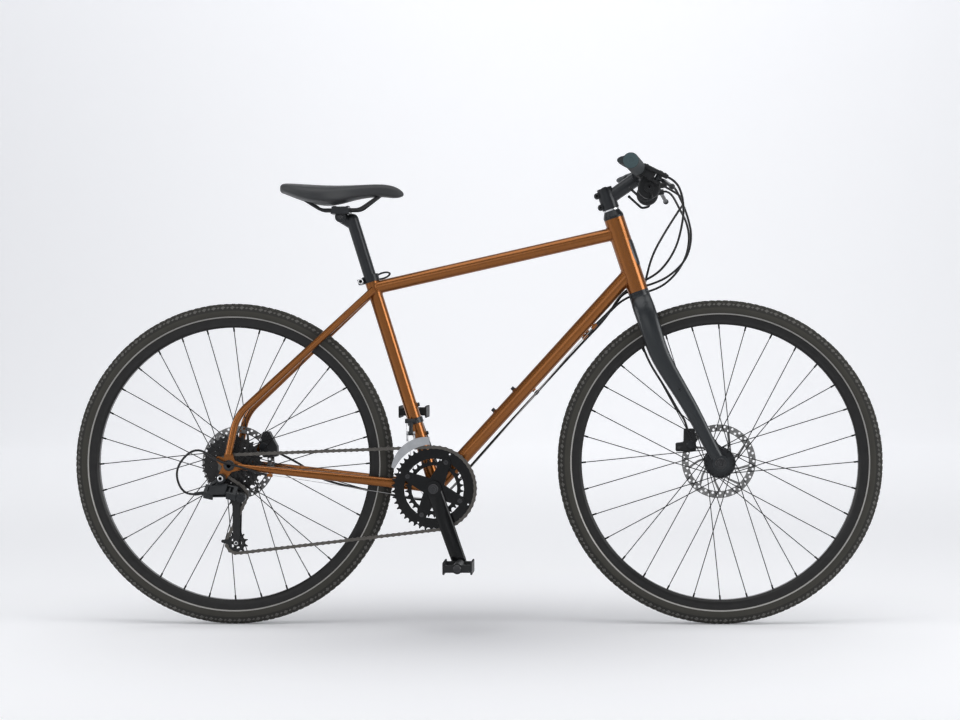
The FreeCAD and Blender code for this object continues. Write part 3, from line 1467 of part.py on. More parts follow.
outer_plate_rd = cage_plate(outer_face, 9.0, 6.5)
guard = sheet([loop(17.0, V(0, 0, 0)), loop(12.0, V(0, 0, 0))], outer_face, plate_thick)
guard.translate(V(tension_at.x, 0, tension_at.z))
tail = capsule(tension_at + V(-13, 0, 2), tension_at + V(-29, 0, 4), 5.0, 3.5, outer_face, plate_thick)
outer_plate_rd = join([outer_plate_rd, guard, tail])
outer_plate_rd = outer_plate_rd.cut(rod(V(cage_pivot.x, -120, cage_pivot.z), V(cage_pivot.x, 0, cage_pivot.z), 4.0 + running_fit))
inner_face = first_cog_y + plate_gap
inner_plate_rd = capsule(guide_at, tension_at, 11.0, 9.0, inner_face, plate_thick)
cage_pins = []
for spot in (guide_at, tension_at):
    cage_pins.append(rod(V(spot.x, outer_face, spot.z), V(spot.x, inner_face + plate_thick, spot.z), 3.0))
put("rd_cage", join([outer_plate_rd, inner_plate_rd] + cage_pins))


def pulley(centre):
    phase = seat_phase(centre, pulley_teeth)
    wires = [toothed_wire(pulley_teeth, V(0, 0, 0), phase), loop(3.0 + running_fit, V(0, 0, 0))]
    for k in range(5):
        a = 2 * math.pi * k / 5
        wires.append(loop(3.2, V(11.5 * math.cos(a), 0, 11.5 * math.sin(a))))
    disc = sheet(wires, first_cog_y - pulley_thickness / 2, pulley_thickness)
    boss = pipe(Y * (first_cog_y - 4.8), Y * (first_cog_y + 4.8), 6.0, 3.0 + running_fit)
    body = join([disc, boss])
    body.translate(V(centre.x, 0, centre.z))
    return body


put("guide_pulley", pulley(guide_at))
put("tension_pulley", pulley(tension_at))

# Front derailleur: clamp on the seat tube, swing link and cage
fd_height = 150.0
fd_band_at = on_post(fd_height)
band = rod(on_post(fd_height - 6), on_post(fd_height + 6), seat_r + 3.0)
fd_pivot = V(fd_band_at.x - 6.0, -34.0, fd_band_at.z + 1.0)
fd_axis = V(1, 0, 0)
fd_arm = rod(V(fd_band_at.x - 4, -10, fd_band_at.z), V(fd_pivot.x, -24.0, fd_pivot.z), 5.5)
fd_bar = Part.makeBox(26, 6, 10, V(fd_pivot.x - 13, -27.0, fd_pivot.z - 5))
fd_ears = []
for x in (-13.0, 9.0):
    fd_ears.append(Part.makeBox(4, 16, 9, V(fd_pivot.x + x, fd_pivot.y - 4.5, fd_pivot.z - 4.5)))
fd_pin = rod(fd_pivot - fd_axis * 11, fd_pivot + fd_axis * 11, 2.0)
fd_body = join([band, fd_arm, fd_bar, fd_pin] + fd_ears)
fd_body = fd_body.cut(rod(on_post(fd_height - 30), on_post(fd_height + 30), seat_r))
put("front_derailleur_body", max(fd_body.Solids, key=lambda s: s.Volume))

ring_r = pitch_radius(big_ring_teeth)
cage_low_r = ring_r + 6.0
fd_drop = 26.0
fd_cage_pin = V(fd_pivot.x, fd_pivot.y - 9.0, fd_pivot.z - fd_drop)
link_body = join([
    rod(fd_pivot - fd_axis * 8.6, fd_pivot + fd_axis * 8.6, 4.6),
    rod(fd_pivot, fd_cage_pin, 4.2),
    rod(fd_cage_pin - fd_axis * 5.0, fd_cage_pin + fd_axis * 5.0, 4.6),
])
for spot in (fd_pivot, fd_cage_pin):
    link_body = link_body.cut(rod(spot - fd_axis * 30, spot + fd_axis * 30, 2.0 + running_fit))
put("fd_link", link_body)


def fd_plate(y, depth, start, finish):
    """Cage plate that follows the curve of the big ring."""
    low_r = cage_low_r - depth
    high_r = ring_r + 22.0
    a = math.radians(start)
    b = math.radians(finish)
    m = (a + b) / 2

    def spot(radius, angle):
        return bb + V(radius * math.cos(angle), 0, radius * math.sin(angle))

    tail_r = ring_r + 13.0
    wire = Part.Wire([
        Part.Arc(spot(low_r, a), spot(low_r, m), spot(low_r, b)).toShape(),
        Part.LineSegment(spot(low_r, b), spot(tail_r, b)).toShape(),
        Part.Arc(spot(tail_r, b), spot(high_r + 3.5, math.radians(116.0)), spot(high_r, a)).toShape(),
        Part.LineSegment(spot(high_r, a), spot(low_r, a)).toShape(),
    ])
    return sheet([wire], y, 1.4)


fd_out_y = big_ring_y - 6.4
fd_in_y = big_ring_y + 5.0
fd_outer = fd_plate(fd_out_y, 0.0, 95.0, 153.0)
fd_inner = fd_plate(fd_in_y, 0.0, 95.0, 153.0)
tail_a = math.radians(151.5)
tail_at = bb + V(math.cos(tail_a), 0, math.sin(tail_a)) * (ring_r + 10.0)
head_a = math.radians(98.0)
head_at = bb + V(math.cos(head_a), 0, math.sin(head_a)) * (ring_r + 18.0)
fd_bridges = [
    rod(V(tail_at.x, fd_out_y, tail_at.z), V(tail_at.x, fd_in_y + 1.4, tail_at.z), 2.2),
    rod(V(head_at.x, fd_out_y, head_at.z), V(head_at.x, fd_in_y + 1.4, head_at.z), 2.6),
]
fd_cage_ears = []
for x in (-9.6, 5.6):
    low = fd_cage_pin + V(x, 0, 0)
    fd_cage_ears.append(rod(low, low + V(4, 0, 0), 4.4))
fd_cage_axle = rod(fd_cage_pin - fd_axis * 9.6, fd_cage_pin + fd_axis * 9.6, 2.0)
fd_feet = []
for x in (-7.6, 7.6):
    top = fd_cage_pin + V(x, 0, -1)
    fd_feet.append(rod(top, V(top.x, fd_in_y + 0.7, fd_cage_pin.z - 17.0), 1.9))
fd_cage = join([fd_outer, fd_inner, fd_cage_axle] + fd_bridges + fd_cage_ears + fd_feet)
put("fd_cage", max(fd_cage.Solids, key=lambda s: s.Volume))

# Cables and hoses
housing_r = 2.5
wire_r = 0.6


def beside_head(down, ahead, y):
    return below_head(down) + steer_ahead * ahead + Y * y


def shift_housing(side, loop, stop_tip):
    """Gear housing from a pod, round its loop in front of the head tube, to a stop under the down tube."""
    start = pod_centre(side) + V(36, side * -4, 6)
    way = unit(V(36, side * -4, 6))
    landing = [stop_tip + down_dir * 62 + Y * 12 + down_under * 3, stop_tip + down_dir * 8, stop_tip - down_dir * 3]
    return cord([start, start + way * 14] + loop + landing, 60.0, housing_r - 0.05)


right_loop = [
    V(446, -92, 906), V(461, -46, 872), V(470, -2, 836), V(462, 18, 794), V(438, 25, 764), V(400, 26, 738),
    beside_head(-9.0, -30.0, 27.0),
]
left_loop = [
    V(448, 80, 896), V(460, 62, 872), V(467, 48, 836), V(459, 36, 792), V(434, 31, 752), V(396, 31, 722),
    beside_head(2.0, -30.0, 27.0),
]
loop_points = [
    stay_stop,
    stay_stop_b + stay_stop_way * 8,
    rear_axle + V(20, -86, 0),
    rear_axle + V(-22, -87, 9),
    rear_axle + V(-70, -87, 44),
    rear_axle + V(-118, -85, -6),
    barrel_tip + barrel_way * 26,
    barrel_tip,
]
put("shift_housings", shift_housing(-1, right_loop, near_tip), shift_housing(1, left_loop, far_tip),
    cord(loop_points, 30.0, housing_r - 0.05))

guide_z = bb.z - bb_shell_od / 2 - 5 - wire_r
rear_wire = cord([
    near_tip - down_dir * 3,
    near_tip - down_dir * 60,
    V(bb.x + 20, -8, guide_z - 1),
    V(bb.x - 20, -12, guide_z - 1),
    stay_stop_a - stay_stop_way * 40,
    stay_stop,
], 14.0, wire_r)
front_wire = cord([
    far_tip - down_dir * 3,
    far_tip - down_dir * 60,
    V(bb.x + 20, 8, guide_z - 1),
    V(bb.x - 20, 4, guide_z - 1),
    V(bb.x - 38, -12, guide_z + 24),
    V(fd_pivot.x - 11, -24, fd_pivot.z - 30),
    V(fd_pivot.x - 11, -24, fd_pivot.z - 5),
], 10.0, wire_r)
put("shift_wires", rear_wire, front_wire)

under = down_under * 24.3
hose_y = 14.5
hose_start = lever_point(-1, 64.0, lever_clamp_y, 11.5)
caliper_port = V(rear_caliper_at.x + 17, rotor_rear_y + 8, rear_caliper_at.z - 14)
chain_left = bb + (rear_axle - bb) * 0.3
hose = cord([
    hose_start,
    hose_start + lever_out * 20,
    V(446, -132, 916),
    V(450, -95, 886),
    V(447, -52, 856),
    V(438, -10, 817),
    V(419, 18, 782),
    V(391, 36, 752),
    beside_head(-13.0, -30.0, 37.0),
    bb + down_dir * (down_length - 110) + under + down_under * 3 + Y * (hose_y + 13),
    bb + down_dir * (down_length - 190) + under + Y * hose_y,
    bb + down_dir * 90 + under + Y * hose_y,
    bb + down_dir * 30 + down_under * 29 + Y * 18,
    V(bb.x - 6, 25, bb.z - 37),
    V(chain_left.x, 31, chain_left.z - 28),
    V(rear_caliper_at.x + 120, 71, rear_caliper_at.z - 80),
    V(rear_caliper_at.x + 84, 71, rear_caliper_at.z - 50),
    V(rear_caliper_at.x + 40, 64, rear_caliper_at.z - 25),
    caliper_port,
], 40.0, housing_r)
put("rear_brake_hose", hose.cut(nodes["rear_caliper"]))

front_start = lever_point(1, 64.0, lever_clamp_y, 11.5)
front_port = V(front_caliper_at.x - 2, rotor_front_y + 9, front_caliper_at.z + 14)
front_hose = cord([
    front_start,
    front_start + lever_out * 20,
    V(455, 128, 926),
    V(455, 106, 910),
    V(447, 90, 900),
    V(414, 60, 849),
    V(385, 50, 798),
    V(371, 47, 745),
    beside_head(12.0, 6.0, 47.0),
    beside_head(46.0, -8.0, 52.0),
    beside_head(92.0, -27.0, 52.0),
    beside_head(150.0, -27.0, 48.0),
    beside_head(225.0, -7.5, 50.0),
    beside_head(276.0, 2.0, 50.0),
    V(front_port.x - 6, front_port.y, front_port.z + 30),
    front_port,
], 40.0, housing_r)
put("front_brake_hose", front_hose.cut(nodes["front_caliper"]))

print("links", link_count, "cage angle", math.degrees(cage_angle))
for label, spot in (("bb", bb), ("head_low", head_low), ("head_top", head_top), ("bar_at", bar_at),
                    ("right_end", right_end), ("left_end", left_end), ("guide_at", guide_at),
                    ("tension_at", tension_at), ("cage_pivot", cage_pivot), ("outer_root", outer_root),
                    ("outer_tip", outer_tip), ("inner_root", inner_root), ("inner_tip", inner_tip),
                    ("link_axis", link_axis), ("fd_pivot", fd_pivot), ("fd_cage_pin", fd_cage_pin),
                    ("lever_pivot_right", lever_pivot_right), ("lever_pivot_left", lever_pivot_left),
                    ("lever_up", lever_up), ("pod_right", pod_centre(-1)), ("pod_left", pod_centre(1)),
                    ("lever_axis", lever_axis), ("seat_up", seat_up), ("steer_up", steer_up),
                    ("near_tip", near_tip), ("far_tip", far_tip), ("eyelet", eyelet), ("fork_eyelet", fork_eyelet),
                    ("seat_top", seat_top), ("post_low", post_low), ("bridge_at", bridge_at),
                    ("hanger", hanger), ("bar_end", bar_end)):
    print(label, round(spot.x, 2), round(spot.y, 2), round(spot.z, 2))

for name, shape in nodes.items():
    shape.exportStep("parts/" + name + ".step")
    bad = [s for s in shape.Solids if not s.isValid()]
    box = shape.BoundBox
    print(name, len(shape.Solids), "bad", len(bad), "vol", round(shape.Volume),
          "x", round(box.XMin), round(box.XMax), "y", round(box.YMin), round(box.YMax),
          "z", round(box.ZMin), round(box.ZMax))
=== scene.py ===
# %% [markdown]
# # A hybrid bike, dressed
# The construction comes packed: tubes, wheels, gears and levers already stand in place, in metres, with
# +X forwards, +Y to the rider's left and the ground at z = 0. This lesson gives every surface its
# finish and adds what a drawing leaves out: tread, padding, cable loops, weld beads, bolts and valves.

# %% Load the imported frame
import json
import math

import bmesh
import bpy
from mathutils import Matrix, Vector


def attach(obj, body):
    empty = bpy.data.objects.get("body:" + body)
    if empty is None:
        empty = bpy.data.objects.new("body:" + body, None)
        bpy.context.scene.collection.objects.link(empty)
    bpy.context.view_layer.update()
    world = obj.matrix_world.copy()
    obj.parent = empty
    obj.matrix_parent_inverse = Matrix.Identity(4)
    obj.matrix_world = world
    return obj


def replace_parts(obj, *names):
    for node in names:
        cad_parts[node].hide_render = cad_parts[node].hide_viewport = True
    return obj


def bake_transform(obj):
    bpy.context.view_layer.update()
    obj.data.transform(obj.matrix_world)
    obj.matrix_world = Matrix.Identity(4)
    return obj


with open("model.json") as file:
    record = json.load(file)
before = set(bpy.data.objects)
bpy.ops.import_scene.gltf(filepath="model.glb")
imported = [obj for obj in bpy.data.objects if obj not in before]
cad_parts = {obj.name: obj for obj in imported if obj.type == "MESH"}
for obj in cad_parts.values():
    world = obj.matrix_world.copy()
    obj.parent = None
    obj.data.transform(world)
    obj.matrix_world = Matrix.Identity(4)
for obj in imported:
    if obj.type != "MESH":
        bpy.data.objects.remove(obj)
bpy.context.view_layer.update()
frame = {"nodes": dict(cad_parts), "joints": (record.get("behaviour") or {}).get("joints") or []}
nodes = frame["nodes"]
joints = {joint["name"]: joint for joint in frame["joints"]}


def joint_place(name):
    """Where a joint turns, in metres."""
    return Vector(joints[name]["pos_m"])


rear_axle = joint_place("rear_wheel_spin")
front_axle = joint_place("front_wheel_spin")
crank_centre = joint_place("crank_spin")
steer_up = Vector(joints["steering_turn"]["axis"]).normalized()
head_low = joint_place("steering_turn")

# %% [markdown]
# ## Camera
# The picture was taken from 5 m away with a long lens, about 0.6 m above the floor. A camera is a place
# and three directions, so its matrix is written from them: right, up, and backwards, because a camera
# looks down its own -Z.

# %% Set the camera
camera_place = (0.294, -5.0, 0.621)
camera_data = bpy.data.cameras.new("studio_camera")
camera_data.sensor_width = 36.0
camera_data.lens = 86.66
camera_data.clip_end = 100.0
yaw = math.radians(-3.24)
pitch = math.radians(0.56)
roll = math.radians(-0.36)
ahead = Vector((math.sin(yaw) * math.cos(pitch), math.cos(yaw) * math.cos(pitch), -math.sin(pitch)))
level_right = Vector((math.cos(yaw), -math.sin(yaw), 0.0))
level_up = level_right.cross(ahead)
camera_right = level_right * math.cos(roll) + level_up * math.sin(roll)
camera_up = level_up * math.cos(roll) - level_right * math.sin(roll)
turn = Matrix((camera_right, camera_up, -ahead)).transposed()
camera = bpy.data.objects.new("studio_camera", camera_data)
camera.matrix_world = Matrix.Translation(camera_place) @ turn.to_4x4()
bpy.context.scene.collection.objects.link(camera)
bpy.context.scene.camera = camera
print("camera at", tuple(round(c, 3) for c in camera.location))

# %% [markdown]
# ## A small language for finishes
# A finish is a tree of shader nodes. Wiring it by hand hides the sum that it works out, so one small
# class wraps a socket and lets Python operators add the Math nodes: `1 - mask` then reads as it does on
# paper.

# %% Wrap sockets and materials


class Field:
    """A number that varies over a surface."""

    def __init__(self, finish, socket):
        self.finish = finish
        self.socket = socket

    def maths(self, operation, first, second):
        return self.finish.node("ShaderNodeMath", {"operation": operation}, {0: first, 1: second})

    def __add__(self, other):
        return self.maths("ADD", self, other)

    def __radd__(self, other):
        return self.maths("ADD", other, self)

    def __sub__(self, other):
        return self.maths("SUBTRACT", self, other)

    def __rsub__(self, other):
        return self.maths("SUBTRACT", other, self)

    def __mul__(self, other):
        return self.maths("MULTIPLY", self, other)

    def __rmul__(self, other):
        return self.maths("MULTIPLY", other, self)


class Finish:
    """One material, built from the shader outwards."""

    def __init__(self, name, **settings):
        self.material = bpy.data.materials.new(name)
        self.material.use_nodes = True
        self.tree = self.material.node_tree
        self.shader = self.tree.nodes["Principled BSDF"]
        self.place = self.node("ShaderNodeTexCoord", {}, {}, "Object")
        self.set(**settings)

    def node(self, kind, settings, sockets, output=0):
        """Any node: its settings first, then the values or links of its sockets."""
        made = self.tree.nodes.new(kind)
        for name, value in settings.items():
            setattr(made, name, value)
        for name, value in sockets.items():
            self.feed(made.inputs[name], value)
        return Field(self, made.outputs[output])

    def feed(self, socket, value):
        if isinstance(value, Field):
            self.tree.links.new(value.socket, socket)
        else:
            socket.default_value = value

    def set(self, **settings):
        """Shader sockets by name, with _ for a space."""
        for name, value in settings.items():
            socket = name.replace("_", " ").title().replace("Ior", "IOR")
            self.feed(self.shader.inputs[socket], value)

    def noise(self, scale, detail=2.0, roughness=0.5):
        return self.node("ShaderNodeTexNoise", {}, {
            "Vector": self.place, "Scale": scale, "Detail": detail, "Roughness": roughness})

    def cells(self, scale, feature="F1", output="Distance"):
        return self.node("ShaderNodeTexVoronoi", {"feature": feature}, {
            "Vector": self.place, "Scale": scale}, output)

    def blend(self, share, first, second):
        """A colour between two. A Mix node keeps its colour sockets after those for numbers and vectors."""
        colours = {0: share, 6: first, 7: second}
        return self.node("ShaderNodeMix", {"data_type": "RGBA"}, colours, output=2)

    def fit(self, value, low, high):
        """Stretches 0..1 to low..high."""
        return value * (high - low) + low

    def bump(self, height, depth):
        """Depth is the relief's own height, in metres."""
        self.set(normal=self.node("ShaderNodeBump", {}, {
            "Height": height, "Distance": depth, "Strength": 1.0}))


def rgb(red, green, blue):
    return (red, green, blue, 1.0)


print("finishes start from the Principled shader")

# %% [markdown]
# ## Studio
# The bike stands on a pale sweep that turns up into a wall in front and behind with no corner, under
# large soft boxes. The sweep is one edge line, extruded sideways: its bends are a bevel on the corner
# points. The walls are further off than any camera that walks round the bike, so nothing hides the bike
# from behind.

# %% Floor, backdrop and lights
stage_half_width = 60
front_wall, back_wall = -30, 11
wall_top = 9
bend_radius = 3.0
air_strength = 0.30


def stage_material():
    """Pale paper, darker on the ground round the bike as a painted shadow, that glows a little further off
    as a painted glow.
    """
    finish = Finish("studio_paper", roughness=0.9, specular_ior_level=0.1, emission_strength=1.0)
    floor = finish.node("ShaderNodeMapping", {}, {
        "Vector": finish.place, "Location": (0.0, 0.16, 0.0), "Scale": (0.80, 0.85, 0.0)})
    ball = {"gradient_type": "QUADRATIC_SPHERE"}
    # Painted shadow: an ellipse round the bike darkens the paper's colour on the ground.
    spread = finish.node("ShaderNodeTexGradient", ball, {"Vector": floor})
    finish.set(base_color=finish.blend(spread, rgb(0.87, 0.875, 0.888), rgb(0.56, 0.565, 0.58)))
    # Painted glow: the paper gives off light of its own, next to none round the bike and more further off.
    near = finish.node("ShaderNodeMapping", {}, {"Vector": finish.place, "Scale": (0.2, 0.2, 0.0)})
    reach = finish.node("ShaderNodeTexGradient", ball, {"Vector": near})
    finish.set(emission_color=finish.blend(reach, rgb(0.27, 0.272, 0.278), rgb(0.02, 0.02, 0.021)))
    return finish.material


def studio_sweep():
    bm = bmesh.new()
    corners = ((front_wall, wall_top), (front_wall, 0), (back_wall, 0), (back_wall, wall_top))
    line = [bm.verts.new((-stage_half_width, y, z)) for y, z in corners]
    for a, b in zip(line, line[1:]):
        bm.edges.new((a, b))
    bmesh.ops.bevel(bm, geom=line[1:3], affect="VERTICES", offset=bend_radius, segments=24,
                    profile=0.5, material=-1)
    grown = bmesh.ops.extrude_edge_only(bm, edges=bm.edges[:])["geom"]
    far_side = [g for g in grown if isinstance(g, bmesh.types.BMVert)]
    bmesh.ops.translate(bm, verts=far_side, vec=(2 * stage_half_width, 0, 0))
    bmesh.ops.recalc_face_normals(bm, faces=bm.faces[:])
    for face in bm.faces:
        face.smooth = True
    mesh = bpy.data.meshes.new("studio_sweep")
    bm.to_mesh(mesh)
    bm.free()
    mesh.materials.append(stage_material())
    made = bpy.data.objects.new("studio_sweep", mesh)
    bpy.context.scene.collection.objects.link(made)


def soft_box(name, at, aim, size, power, spread=180):
    """An area light at a place, turned to its aim. The spread is in degrees."""
    data = bpy.data.lights.new(name, "AREA")
    data.shape = "RECTANGLE"
    data.size, data.size_y = size
    data.energy = power
    data.spread = math.radians(spread)
    lamp = bpy.data.objects.new(name, data)
    lamp.location = at
    lamp.rotation_euler = (Vector(aim) - Vector(at)).to_track_quat("-Z", "Y").to_euler()
    bpy.context.scene.collection.objects.link(lamp)


studio_sweep()
soft_box("overhead_box", (0.1, -0.7, 3.3), (0.0, 0.0, 0.3), (4.6, 2.4), 60)
soft_box("front_box", (-1.8, -5.6, 2.6), (0.0, 0.0, 0.5), (3.4, 2.2), 24)
soft_box("right_box", (3.7, -1.5, 1.5), (0.2, 0.0, 0.6), (2.2, 2.6), 15, spread=75)
soft_box("left_box", (-3.7, -1.3, 1.5), (-0.2, 0.0, 0.6), (1.8, 2.6), 8, spread=75)
soft_box("far_box", (0.0, 4.6, 4.2), (0.0, 4.8, 0.0), (6.0, 3.0), 50)
soft_box("back_wash", (0.0, 7.4, 5.0), (0.0, 10.8, 1.4), (4.0, 2.0), 62)
world = bpy.data.worlds.new("studio_air")
world.use_nodes = True
air = world.node_tree.nodes["Background"]
air.inputs["Color"].default_value = rgb(0.93, 0.945, 1.0)
air.inputs["Strength"].default_value = air_strength
bpy.context.scene.world = world
bpy.context.scene.view_settings.view_transform = "Standard"
print("lights", len(bpy.data.lights))

# %% [markdown]
# ## Paint and metal
# The tubes carry a copper metallic lacquer: bright flakes in a brown base, then clear coat. Metallic
# gives the coloured reflection, tiny cells make some flakes paler than others, and Coat adds the sharp
# gloss on top.

# %% Copper lacquer and the satin fork
copper = Finish("copper_lacquer", metallic=0.90, coat_weight=0.42, coat_roughness=0.09)
flake = copper.cells(scale=2600, output="Color")
flake_value = copper.node("ShaderNodeSeparateColor", {}, {"Color": flake}, "Red")
drift = copper.noise(scale=9)
copper.set(
    base_color=copper.blend(
        flake_value * 0.55 + drift * 0.3, rgb(0.165, 0.052, 0.0075), rgb(0.340, 0.118, 0.019)),
    roughness=copper.fit(flake_value, 0.20, 0.30),
)

fork_satin = Finish("satin_graphite", metallic=0.3, specular_ior_level=0.5, coat_weight=0.15,
                    coat_roughness=0.22)
orange_peel = fork_satin.noise(scale=420)
cloud = fork_satin.noise(scale=6)
fork_satin.set(
    base_color=fork_satin.blend(cloud, rgb(0.012, 0.0145, 0.0165), rgb(0.018, 0.0215, 0.0245)),
    roughness=fork_satin.fit(orange_peel, 0.26, 0.34),
)
fork_satin.bump(orange_peel, depth=0.00004)
print("paint ready")

# %% [markdown]
# Black alloy is anodised: the metal still shows in its gloss, a little uneven, while pressed steel
# carries a film of oil. All are metals whose colour and roughness wander together. The ground face of a
# rotor also has a fine relief.

# %% Black alloy, steel and bright metal


def metal(name, dark, light, metallic, smooth, rough, grain=60.0, relief=0.0, gloss=0.22):
    """Two colours and two roughnesses, mixed by a grain, with a fine relief in metres where it has one."""
    finish = Finish(name, metallic=metallic, specular_ior_level=gloss)
    wander = finish.noise(grain, detail=3)
    fine = finish.noise(scale=1400)
    finish.set(base_color=finish.blend(wander, rgb(*dark), rgb(*light)),
               roughness=finish.fit(wander * 0.7 + fine * 0.3, smooth, rough))
    if relief:
        finish.bump(fine, relief)
    return finish


black_alloy = metal("black_anodised_alloy", (0.012, 0.0135, 0.015), (0.022, 0.024, 0.027),
                    0.35, 0.24, 0.36, gloss=0.42)
crank_black = metal("polished_black_alloy", (0.003, 0.0032, 0.0035), (0.006, 0.0064, 0.007),
                    0.20, 0.12, 0.22, gloss=0.30)
rim_black = metal("black_rim_alloy", (0.017, 0.0168, 0.0168), (0.027, 0.0268, 0.0268),
                  0.45, 0.26, 0.38, gloss=0.32)
spoke_black = metal("black_spoke_wire", (0.004, 0.004, 0.0042), (0.009, 0.009, 0.0095),
                    0.30, 0.28, 0.40)
rotor_steel = metal("ground_rotor_steel", (0.17, 0.17, 0.168), (0.30, 0.298, 0.292),
                    1.0, 0.26, 0.42, grain=140, relief=0.00003)
chain_steel = metal("oiled_chain_steel", (0.080, 0.074, 0.067), (0.155, 0.146, 0.134),
                    0.9, 0.28, 0.46, grain=220)
cog_steel = metal("dark_cog_steel", (0.022, 0.022, 0.023), (0.050, 0.049, 0.048),
                  0.75, 0.30, 0.46, grain=90)
bright_alloy = metal("bright_alloy", (0.56, 0.565, 0.575), (0.74, 0.745, 0.755),
                     1.0, 0.20, 0.34, grain=120)
cage_grey = metal("satin_cage_steel", (0.34, 0.35, 0.365), (0.48, 0.49, 0.505),
                  0.85, 0.28, 0.42, grain=110)
wire_steel = metal("bare_gear_wire", (0.42, 0.42, 0.42), (0.60, 0.60, 0.60),
                   1.0, 0.28, 0.42, grain=300)
bolt_steel = metal("dark_bolt_steel", (0.040, 0.040, 0.042), (0.075, 0.075, 0.077),
                   0.9, 0.24, 0.38, grain=160)
print("metals ready")

# %% [markdown]
# Moulded pieces come out of a spark-eroded mould with a fine even grain. Rubber is duller and dustier.
# The saddle's cover is a coated cloth pressed with small pebbles, whose cells the Voronoi texture gives
# by itself.

# %% Plastic, rubber and saddle cover


def moulded(name, dark, light, smooth, rough, grain, depth):
    """Two colours and two roughnesses, mixed by wide patches and specks that also give the relief."""
    finish = Finish(name, specular_ior_level=0.26)
    speck = finish.noise(grain, roughness=0.6)
    patch = finish.noise(scale=14)
    finish.set(base_color=finish.blend(patch * 0.7 + speck * 0.3, rgb(*dark), rgb(*light)),
               roughness=finish.fit(patch * 0.5 + speck * 0.5, smooth, rough))
    finish.bump(speck, depth)
    return finish


black_plastic = moulded("grained_black_plastic", (0.010, 0.0105, 0.011), (0.021, 0.022, 0.023),
                        0.40, 0.58, grain=1500, depth=0.00005)
grey_plastic = moulded("grey_moulding", (0.012, 0.0135, 0.015), (0.022, 0.0245, 0.027),
                       0.26, 0.40, grain=1500, depth=0.00005)
tyre_rubber = moulded("tyre_rubber", (0.030, 0.0285, 0.024), (0.047, 0.045, 0.038),
                      0.62, 0.82, grain=900, depth=0.00008)
# A darker copy of the tyre rubber: painted shade for the ground between the shoulder blocks.
shaded_groove_rubber = moulded("tread_groove_rubber", (0.020, 0.0195, 0.0175), (0.032, 0.031, 0.0275),
                        0.7, 0.86, grain=900, depth=0.00008)
# A lighter copy of the tyre rubber for the shoulder blocks: a painted highlight where light catches them.
highlight_tread_rubber = moulded("worn_tread_rubber", (0.070, 0.068, 0.063), (0.110, 0.107, 0.100),
                       0.66, 0.86, grain=700, depth=0.0001)
grip_rubber = moulded("grip_rubber", (0.022, 0.026, 0.028), (0.036, 0.042, 0.044),
                      0.58, 0.76, grain=1100, depth=0.00006)
grip_end = moulded("grip_end_cap", (0.040, 0.066, 0.072), (0.062, 0.094, 0.100),
                   0.46, 0.62, grain=1100, depth=0.00004)
jacket = moulded("cable_jacket", (0.009, 0.009, 0.0095), (0.018, 0.018, 0.019),
                 0.26, 0.40, grain=600, depth=0.00002)
base_plastic = moulded("saddle_base_plastic", (0.012, 0.012, 0.013), (0.022, 0.022, 0.023),
                       0.42, 0.6, grain=900, depth=0.00006)

stripe = Finish("reflective_stripe", metallic=0.3)
bead_grain = stripe.cells(scale=1700)
wear = stripe.noise(scale=40, detail=3)
stripe.set(
    base_color=stripe.blend(wear, rgb(0.24, 0.235, 0.225), rgb(0.36, 0.355, 0.34)),
    roughness=stripe.fit(bead_grain, 0.34, 0.55),
)
stripe.bump(bead_grain, depth=0.00004)

saddle_vinyl = Finish("pebbled_saddle_cover", specular_ior_level=0.5)
pebble = saddle_vinyl.cells(scale=780, feature="SMOOTH_F1")
fold = saddle_vinyl.noise(scale=26, detail=3)
saddle_vinyl.set(
    base_color=saddle_vinyl.blend(fold, rgb(0.0135, 0.0145, 0.016), rgb(0.024, 0.0255, 0.0275)),
    roughness=saddle_vinyl.fit(fold * 0.6 + pebble * 0.4, 0.40, 0.62),
)
saddle_vinyl.bump(pebble, depth=0.00012)
print("soft finishes ready")

# %% [markdown]
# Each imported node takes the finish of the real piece. Its mesh stays as it is: only its material slot
# changes.

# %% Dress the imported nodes


def dress(finish, *names):
    for name in names:
        mesh = nodes[name].data
        mesh.materials.clear()
        mesh.materials.append(finish.material)


dress(copper, "head_tube", "top_tube", "seat_tube", "down_tube", "bottom_bracket_shell", "rear_dropouts",
      "rear_stays")
dress(fork_satin, "fork")
dress(black_alloy, "stem", "handlebar", "seatpost", "saddle_clamp", "seat_collar", "seat_collar_lever",
      "front_hub", "rear_hub", "bearing_cups", "front_axle", "rear_axle", "brake_lever_right",
      "brake_lever_left", "headset_spacers", "fd_link", "front_derailleur_body")
dress(crank_black, "right_crank", "left_crank", "chainrings")
dress(rim_black, "front_rim", "rear_rim")
dress(spoke_black, "front_spokes", "rear_spokes")
dress(rotor_steel, "front_rotor", "rear_rotor")
dress(chain_steel, "chain")
dress(cog_steel, "cassette")
dress(cage_grey, "fd_cage")
dress(black_plastic, "front_caliper", "rear_caliper", "brake_lever_bodies", "shifter_pods",
      "shift_lever_right", "shift_lever_left", "pedal_right", "pedal_left", "guide_pulley",
      "tension_pulley", "rd_cage")
dress(grey_plastic, "rd_knuckle", "rd_outer_link", "rd_inner_link", "rd_p_knuckle")
dress(base_plastic, "saddle_base")
dress(saddle_vinyl, "saddle_cover")
dress(tyre_rubber, "front_tyre", "rear_tyre")
dress(grip_rubber, "grips")
dress(jacket, "shift_housings", "rear_brake_hose", "front_brake_hose")
dress(wire_steel, "shift_wires")
print("dressed", sum(1 for o in nodes.values() if o.data.materials))

# %% [markdown]
# ## Cables and hoses
# A gear housing is a steel-lined plastic tube and a brake hose is filled with oil, so both keep a
# smooth, springy curve. Each is one NURBS line with the same control points as the construction. The
# lines that loop from the bar to the frame bend when the fork turns, and they become mesh tubes that
# ride on no body.

